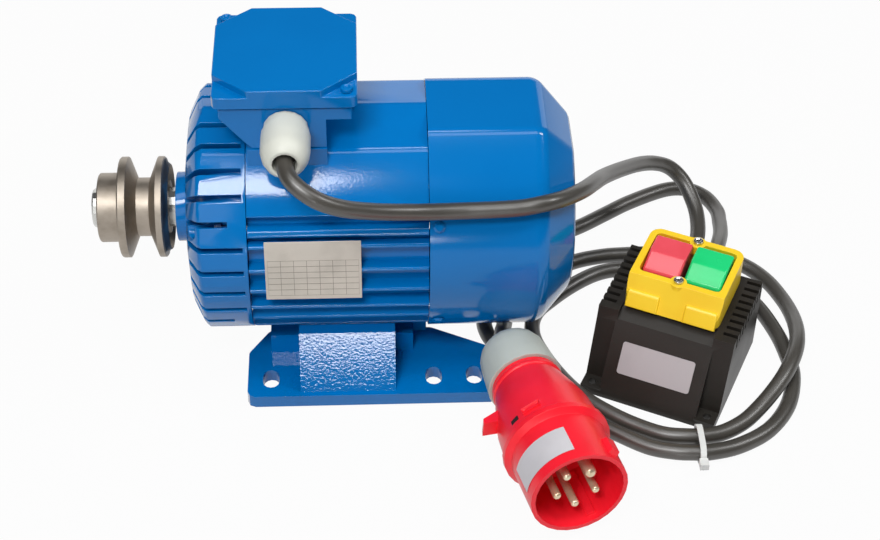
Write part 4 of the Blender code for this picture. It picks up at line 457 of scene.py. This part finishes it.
def addPlateRules(look):
    low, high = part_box("nameplate")
    angle = math.radians(look["angle"])
    up = Vector((0, math.sin(angle), math.cos(angle)))
    out = Vector((0, -math.cos(angle), math.sin(angle)))
    bpy.ops.object.select_all(action='DESELECT')
    bpy.ops.mesh.primitive_grid_add(x_subdivisions=look["columns"], y_subdivisions=look["rows"], size=1)
    piece = bpy.context.object
    startEdit(piece)
    bpy.ops.transform.resize(value=(look["width"], look["height"], 1), center_override=(0, 0, 0))
    bpy.ops.mesh.inset(thickness=look["line"], use_individual=True)
    bpy.ops.mesh.delete(type='FACE')
    endEdit()
    withModifier(piece, 'SOLIDIFY', thickness=look["thick"], offset=1)
    place = axes((1, 0, 0), up, (low + high) / 2 + out * look["lift"] - up * look["drop"])
    return seat(piece, "plateRules", "motor", "bare_plate", place=place, inkOf="plateInk")


def addSwitchLabel(look):
    bpy.ops.object.select_all(action='DESELECT')
    bpy.ops.mesh.primitive_plane_add(size=1)
    piece = bpy.context.object
    startEdit(piece)
    bpy.ops.transform.resize(value=(look["width"], look["height"], 1), center_override=(0, 0, 0))
    bpy.ops.mesh.bevel(offset=look["corner"], segments=look["steps"], affect='VERTICES')
    endEdit()
    withModifier(piece, 'SOLIDIFY', thickness=look["thick"], offset=1)
    run = Vector((0, *switchLook["slope"]))
    spot = Vector((0, *switchLook["panel"])) + run * look["middle"]
    place = switchFrame @ axes((1, 0, 0), -run, spot)
    return seat(piece, "switchLabel", "motor", "white_nylon", place=place, inkOf="greyLabel")


addPlateRules(plateLook)
addSwitchLabel(labelLook)
print("plates laid")


# ledges on the bezel's apron, either side of the front screw

ledgeLook = dict(reach=(0.0080, 0.0285), foot=-0.0125, rim=-0.0035, top=0.0720, share=0.55, depth=0.0030,
                 slope=0.0014, outer=0.0012, edge=0.0003)


def addLedge(name, side, look):
    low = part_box("switch_bezel")[0].z
    foot, rim = Vector((0, look["foot"], low)), Vector((0, look["rim"], look["top"]))
    up = (rim - foot).normalized()
    height = (rim - foot).length * look["share"]
    near, far = look["reach"]
    piece = newCube((far - near, height, look["depth"]))
    pickEdges(piece, bothEnds(lambda p: p.y > 0 and p.z > 0))
    bpy.ops.mesh.bevel(offset=look["slope"], segments=1, affect='EDGES')
    endEdit()
    pickEdges(piece, bothEnds(lambda p: p.z > 0))
    bpy.ops.mesh.bevel(offset=look["outer"], segments=3, affect='EDGES')
    endEdit()
    roundEdges(piece, look["edge"], 2)
    smooth(piece)
    spot = foot + up * height / 2 + Vector((side * (near + far) / 2, 0, 0))
    return seat(piece, name, "motor", "yellow_plastic", place=switchFrame @ axes((1, 0, 0), up, spot))


addLedge("apronLedgeLeft", -1, ledgeLook)
addLedge("apronLedgeRight", 1, ledgeLook)
print("bezel ledges set")


# screws with a recess

# shoulder and rim are shares of the radius, dome is a share of the height
headLook = dict(sides=24, shoulder=0.35, dome=0.15, rim=0.25, edge=0.00015)
bezelScrew = dict(radius=0.0030, height=0.0016, sink=0.0006)
lidScrew = dict(radius=0.0034, height=0.0022, sink=0.0008, ink="sheetPaint")
screws = (("bezelScrewRear", "bezel_screw_rear", bezelScrew),
          ("bezelScrewFront", "bezel_screw_front", bezelScrew),
          ("lidScrewFront", "lid_screw_front", lidScrew), ("lidScrewRear", "lid_screw_rear", lidScrew))


def addScrew(name, node, look):
    low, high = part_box(node)
    bpy.ops.object.select_all(action='DESELECT')
    bpy.ops.mesh.primitive_cylinder_add(vertices=headLook["sides"], radius=look["radius"],
                                        depth=look["height"])
    piece = bpy.context.object
    pickFaces(piece, facesUp)
    bpy.ops.mesh.inset(thickness=look["radius"] * headLook["shoulder"])
    bpy.ops.transform.translate(value=(0, 0, look["height"] * headLook["dome"]))
    bpy.ops.mesh.inset(thickness=look["radius"] * headLook["rim"])
    bpy.ops.transform.translate(value=(0, 0, -look["sink"]))
    endEdit()
    roundEdges(piece, headLook["edge"], 2)
    smooth(piece)
    place = Matrix.Translation(((low.x + high.x) / 2, (low.y + high.y) / 2, high.z - look["height"] / 2))
    return seat(piece, name, "motor", slotOf[node], (node,), place, look.get("ink"))


for name, node, look in screws:
    addScrew(name, node, look)
print("screws turned")


# plug, its details in the plug's own frame, the mouth at 0 and the cable end below it

plugLook = dict(mouth=(0.1382, -0.1920, 0.0364), yaw=14.25, tilt=3.4)
stickerLook = dict(radius=0.0292, start=0.0065, end=0.0250, angles=(94, 172), thick=0.0002, sides=90)
collarLook = dict(radius=0.0208, thick=0.0014, at=0.0905, wide=1.5, sides=56, steps=12)
blockLook = dict(hollow=0.6, taper=0.8, edge=0.0003)
latchLook = dict(size=(0.0116, 0.0042, 0.0024), wall=0.0009, angle=116.8, at=0.0476, radius=0.0300,
                 lean=-5.5)
# the plug's slot is painted shade: a black block on the shell stands for the dark hollow of the slot
slotShadeLook = dict(size=(0.0066, 0.0036, 0.0016), angle=140.2, at=0.0475, radius=0.0297, lean=-5.5)
keyLook = dict(size=(0.0080, 0.0120, 0.0040), angle=46, at=0.0095, radius=0.0300, lean=0)
# where the ring's edges are on the solid, and how far each moves
ringLook = dict(moves=((0.0305, -0.0045), (0.0356, -0.0010), (0.0390, 0.0012),
                       (0.0503, 0.0090), (0.0520, 0.0090)),
                slack=0.0003, inner=0.0285, outer=0.0326, rounding=0.0005, angle=20, smooth=32)


def plugAxes(look):
    yaw, tilt = math.radians(look["yaw"]), math.radians(look["tilt"])
    right = Vector((math.cos(yaw), math.sin(yaw), 0))
    out = Vector((math.sin(yaw) * math.cos(tilt), -math.cos(yaw) * math.cos(tilt), math.sin(tilt)))
    return axes(right, out.cross(right), look["mouth"])


plugFrame = plugAxes(plugLook)


def onPlug(look):
    turn = Matrix.Rotation(math.radians(look["angle"] - 90), 4, 'Z')
    lean = Matrix.Rotation(-math.pi / 2 + math.radians(look["lean"]), 4, 'X')
    return plugFrame @ turn @ Matrix.Translation((0, look["radius"], -look["at"])) @ lean


def addSticker(look):
    bpy.ops.object.select_all(action='DESELECT')
    bpy.ops.mesh.primitive_cylinder_add(vertices=look["sides"], radius=look["radius"],
                                        depth=look["end"] - look["start"])
    piece = bpy.context.object
    first, last = look["angles"]

    def outside(centre, normal):
        angle = math.degrees(math.atan2(centre.y, centre.x)) % 360
        return abs(normal.z) > 0.5 or not first < angle < last

    pickFaces(piece, outside)
    bpy.ops.mesh.delete(type='FACE')
    endEdit()
    withModifier(piece, 'SOLIDIFY', thickness=look["thick"], offset=1)
    smooth(piece)
    middle = (look["end"] + look["start"]) / 2
    return seat(piece, "plugSticker", "motor", "white_nylon", inkOf="paperLabel",
                place=plugFrame @ Matrix.Translation((0, 0, -middle)))


def addCollar(look):
    bpy.ops.object.select_all(action='DESELECT')
    bpy.ops.mesh.primitive_torus_add(major_radius=look["radius"], minor_radius=look["thick"],
                                     major_segments=look["sides"], minor_segments=look["steps"])
    piece = bpy.context.object
    startEdit(piece)
    bpy.ops.transform.resize(value=(1, 1, look["wide"]), center_override=(0, 0, 0))
    endEdit()
    smooth(piece)
    return seat(piece, "plugCollar", "motor", "red_plastic",
                place=plugFrame @ Matrix.Translation((0, 0, -look["at"])))


def addBlock(name, look, slotName):
    piece = newCube(look["size"])
    pickFaces(piece, facesUp)
    if "wall" in look:
        bpy.ops.mesh.inset(thickness=look["wall"])
        bpy.ops.transform.translate(value=(0, 0, -look["size"][2] * blockLook["hollow"]))
    else:
        bpy.ops.transform.resize(value=(blockLook["taper"], blockLook["taper"], 1))
    endEdit()
    roundEdges(piece, blockLook["edge"], 2)
    smooth(piece)
    return seat(piece, name, "motor", slotName, place=onPlug(look))


def addPlugShell(look):
    piece = copyNode("plug_housing")
    piece.matrix_world = plugFrame.inverted()
    only(piece)
    bpy.ops.object.transform_apply(location=True, rotation=True, scale=True)
    for at, shift in look["moves"]:
        pickPoints(piece, lambda p: abs(p.z + at) < look["slack"]
                   and look["inner"] < p.xy.length < look["outer"])
        bpy.ops.transform.translate(value=(0, 0, shift))
        endEdit()
    roundEdges(piece, look["rounding"], 2, look["angle"])
    smooth(piece, look["smooth"])
    return seat(piece, "plugShell", "motor", "red_plastic", ("plug_housing",), place=plugFrame)


plugSoft = [
    dict(name="softPlugNut", node="plug_nut", width=0.0008, segments=2),
    dict(name="softTie", node="cable_tie", width=0.0003, segments=2),
    dict(name="earthTip", node="earth_pin", width=0.0008, segments=3, angle=40),
]
plugSoft += [dict(name="pinTip%d" % i, node="pin_%d" % i, width=0.0007, segments=3, angle=40)
             for i in range(1, 5)]
plugPieces = [softCopy(look) for look in plugSoft]
plugPieces += [addPlugShell(ringLook), addSticker(stickerLook), addCollar(collarLook),
               addBlock("plugLatch", latchLook, "red_plastic"),
               # black block as painted shade for the slot's hollow
               addBlock("plugSlotShade", slotShadeLook, "black_plastic"),
               addBlock("plugKey", keyLook, "red_plastic"), nodes["plug_carrier"]]
print("plug dressed:", len(plugPieces), "pieces")


# cords, each on the route its solid follows, in millimetres

cordLook = dict(dense=8, roundness=5)
motorLead = dict(radius=0.005, route=(
    (-23.3, -64, 179.5), (-23.3, -73, 179.5), (-20.5, -83, 178.6), (-13.5, -89.5, 175),
    (-4, -92.5, 169.8), (8, -90, 162.6), (23.5, -82.5, 153.6), (40.7, -75, 146.2), (58, -69.6, 141.4),
    (75.2, -67.2, 139.6), (92.4, -66.8, 139.7), (109.9, -66.4, 140.4), (123.9, -64.2, 141.6),
    (135.9, -56.4, 138.6), (148, -42.5, 132.6), (157.5, -23, 122), (167, 2, 106), (182, 31, 87.5),
    (199.7, 59, 69), (212.7, 71.5, 59), (223.2, 75.5, 51.5), (231.6, 71.5, 44), (236.8, 62, 37),
    (239.2, 50, 32), (237.6, 33, 29), (231.9, 17, 28), (227.8, 7.6, 28), (223.9, -0.7, 28)))
supplyLead = dict(radius=0.005, route=(
    (236.5, -6.8, 28), (240.4, 1.2, 28), (244.9, 11.5, 27.4), (251, 29.5, 23.4), (256.5, 49, 16.4),
    (259.5, 69, 9.6), (260.2, 84, 6.6), (254.5, 99.5, 5.5), (242.5, 108.2, 5.5), (227, 107.6, 5.5),
    (202.3, 95.6, 5.5), (183.8, 83.4, 5.5), (165.6, 71.2, 5.5), (142, 58, 5.5), (120, 39, 5.5),
    (102.5, 15, 5.5), (95.5, -10, 5.5), (97, -32, 5.5), (108.8, -50, 5.5), (124.8, -67, 5.5),
    (136.7, -87, 5.5), (150, -104.5, 5.5), (168, -117.5, 5.5), (187, -130, 5.6), (202, -135.6, 6.8),
    (213, -137.3, 7.5), (224, -137.3, 7.5), (242, -131.6, 6.4), (262, -118.6, 5.5), (277, -98.5, 5.5),
    (284.3, -74, 5.5), (283.5, -52, 5.5), (280, -33, 5.5), (272.5, -11, 5.5), (260, 9, 5.5),
    (242, 22, 5.5), (218, 27.5, 5.5), (190, 27.5, 5.5), (173, 24, 5.5), (156.5, 14, 5.5), (140.5, 0, 5.5),
    (128.6, -14, 5.5), (125.4, -32, 5.5), (131.4, -53, 5.5), (142.6, -75.2, 5.5), (154.6, -91.2, 5.5),
    (169, -104, 5.5), (183, -113.5, 5.5), (197, -121.2, 6.4), (210, -124.2, 7.4), (222, -124.5, 7.6),
    (234, -121.6, 7.6), (247, -114.2, 8.4), (258, -104.3, 10.4), (268.4, -93.4, 14), (277, -82, 16.8),
    (284, -69, 17.6), (289, -55, 16.2), (291.7, -40, 13.2), (292.2, -23, 9.4), (289.5, -5, 6.6),
    (282.5, 13.5, 5.6), (271, 28, 5.5), (254, 38, 5.5), (225, 42.2, 5.5), (190, 41.8, 5.5),
    (174, 40, 5.5), (158, 35.5, 5.5), (141, 26.5, 5.5), (125, 13, 5.5), (113.6, -4, 5.6),
    (109.6, -16, 6.7), (107.6, -27, 10), (105.9, -37, 15.6), (104.5, -46, 21.8), (103.8, -55, 26.8),
    (105.63, -63.9, 28.55)))


def smoothPoints(route, dense):
    knots = [Vector(p) * 0.001 for p in route]
    knots = [2 * knots[0] - knots[1]] + knots + [2 * knots[-1] - knots[-2]]
    points = []
    for a, b, c, d in zip(knots, knots[1:], knots[2:], knots[3:]):
        for i in range(dense):
            t = i / dense
            points.append(0.5 * (2 * b + (c - a) * t + (2 * a - 5 * b + 4 * c - d) * t ** 2
                                 + (3 * b - a - 3 * c + d) * t ** 3))
    points.append(knots[-2])
    return points


def addCord(name, lead, node):
    points = smoothPoints(lead["route"], cordLook["dense"])
    curve = bpy.data.curves.new(name, 'CURVE')
    curve.dimensions = '3D'
    curve.bevel_depth = lead["radius"]
    curve.bevel_resolution = cordLook["roundness"]
    curve.use_fill_caps = True
    spline = curve.splines.new('POLY')
    spline.points.add(len(points) - 1)
    for knot, point in zip(spline.points, points):
        knot.co = (*point, 1.0)
    spline.use_smooth = True
    cord = bpy.data.objects.new(name, curve)
    scene.collection.objects.link(cord)
    curve.materials.append(materials["black_rubber"])
    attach(cord, "motor")
    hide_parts(node)
    length = sum((b - a).length for a, b in zip(points, points[1:]))
    return cord, points, length


motorCord, motorPoints, motorLength = addCord("motorCord", motorLead, "motor_lead")
supplyCord, supplyPoints, supplyLength = addCord("supplyCord", supplyLead, "supply_lead")
print("cords laid: %.3f and %.3f m" % (motorLength, supplyLength))


# floor and light; the glow is what the camera and mirrored rays see, and fades outside the pool

floorLook = dict(size=12, colour=(0.45, 0.45, 0.46), rough=0.9, glow=0.96, pool=(0.70, 1.50), far=0.12)
boxLooks = (
    dict(name="keyBox", place=(-0.26, -0.892, 1.39), aim=(-0.02, -0.04, 0.15), size=(0.48, 0.31),
         power=12.4),
    dict(name="topBox", place=(0.10, -0.35, 1.70), aim=(0.05, 0, 0.10), size=(1.6, 0.48), power=9.5),
    dict(name="sideBox", place=(1.34, -0.11, 1.39), aim=(0.03, -0.07, 0.14), size=(0.26, 0.46),
         power=8.5),
    dict(name="capBox", place=(0.03, 0.25, 1.72), aim=(0.03, 0.20, 0.0), size=(0.32, 0.20), power=2.2),
    dict(name="lowBox", place=(-0.01, -1.70, 0.262), aim=(-0.01, -0.07, 0.03), size=(0.24, 0.14),
         power=2.1),
    dict(name="frontBox", place=(-0.80, -1.60, 0.85), aim=(0.05, 0, 0.08), size=(1.2, 0.9), power=5.5),
    dict(name="backCard", place=(0.0, 1.6, 0.42), aim=(0, 0, 0.2), size=(3.0, 0.80), power=10),
)
roomLook = dict(colour=(0.92, 0.95, 1.0), strength=0.07)


def addFloor(look):
    bpy.ops.object.select_all(action='DESELECT')
    bpy.ops.mesh.primitive_plane_add(size=look["size"])
    floor = bpy.context.object
    floor.name = "paleFloor"
    material, tree, shader = newMaterial("paleFloor")
    shader.inputs["Base Color"].default_value = (*look["colour"], 1)
    shader.inputs["Roughness"].default_value = look["rough"]
    path = tree.nodes.new('ShaderNodeLightPath')
    seen = path.outputs["Is Camera Ray"]
    for kind in ("Is Glossy Ray", "Is Transmission Ray"):
        either = tree.nodes.new('ShaderNodeMath')
        either.operation = 'MAXIMUM'
        link(tree, seen, either.inputs[0])
        link(tree, path.outputs[kind], either.inputs[1])
        seen = either.outputs[0]
    share = tree.nodes.new('ShaderNodeMath')
    share.operation = 'MULTIPLY'
    coords = tree.nodes.new('ShaderNodeTexCoord')
    reach = tree.nodes.new('ShaderNodeVectorMath')
    reach.operation = 'LENGTH'
    pool = tree.nodes.new('ShaderNodeMapRange')
    pool.interpolation_type = 'SMOOTHSTEP'
    pool.inputs["From Min"].default_value, pool.inputs["From Max"].default_value = look["pool"]
    pool.inputs["To Min"].default_value = look["glow"]
    pool.inputs["To Max"].default_value = look["far"]
    link(tree, coords.outputs["Object"], reach.inputs[0])
    link(tree, reach.outputs["Value"], pool.inputs["Value"])
    link(tree, pool.outputs["Result"], share.inputs[1])
    link(tree, seen, share.inputs[0])
    glow = tree.nodes.new('ShaderNodeEmission')
    glow.inputs["Color"].default_value = (1, 1, 1, 1)
    blend = tree.nodes.new('ShaderNodeMixShader')
    link(tree, share.outputs[0], blend.inputs[0])
    link(tree, shader.outputs[0], blend.inputs[1])
    link(tree, glow.outputs[0], blend.inputs[2])
    link(tree, blend.outputs[0], tree.nodes["Material Output"].inputs["Surface"])
    floor.data.materials.append(material)


def addSoftBox(look):
    bpy.ops.object.light_add(type='AREA', location=look["place"])
    lamp = bpy.context.object
    lamp.name = look["name"]
    lamp.data.shape = 'RECTANGLE'
    lamp.data.size, lamp.data.size_y = look["size"]
    lamp.data.energy = look["power"]
    gaze = Vector(look["aim"]) - Vector(look["place"])
    lamp.rotation_euler = gaze.to_track_quat('-Z', 'Y').to_euler()


addFloor(floorLook)
for look in boxLooks:
    addSoftBox(look)
world = bpy.data.worlds.new("paleRoom")
scene.world = world
world.use_nodes = True
room = world.node_tree.nodes["Background"]
room.inputs["Color"].default_value = (*roomLook["colour"], 1)
room.inputs["Strength"].default_value = roomLook["strength"]
print("floor and light set")
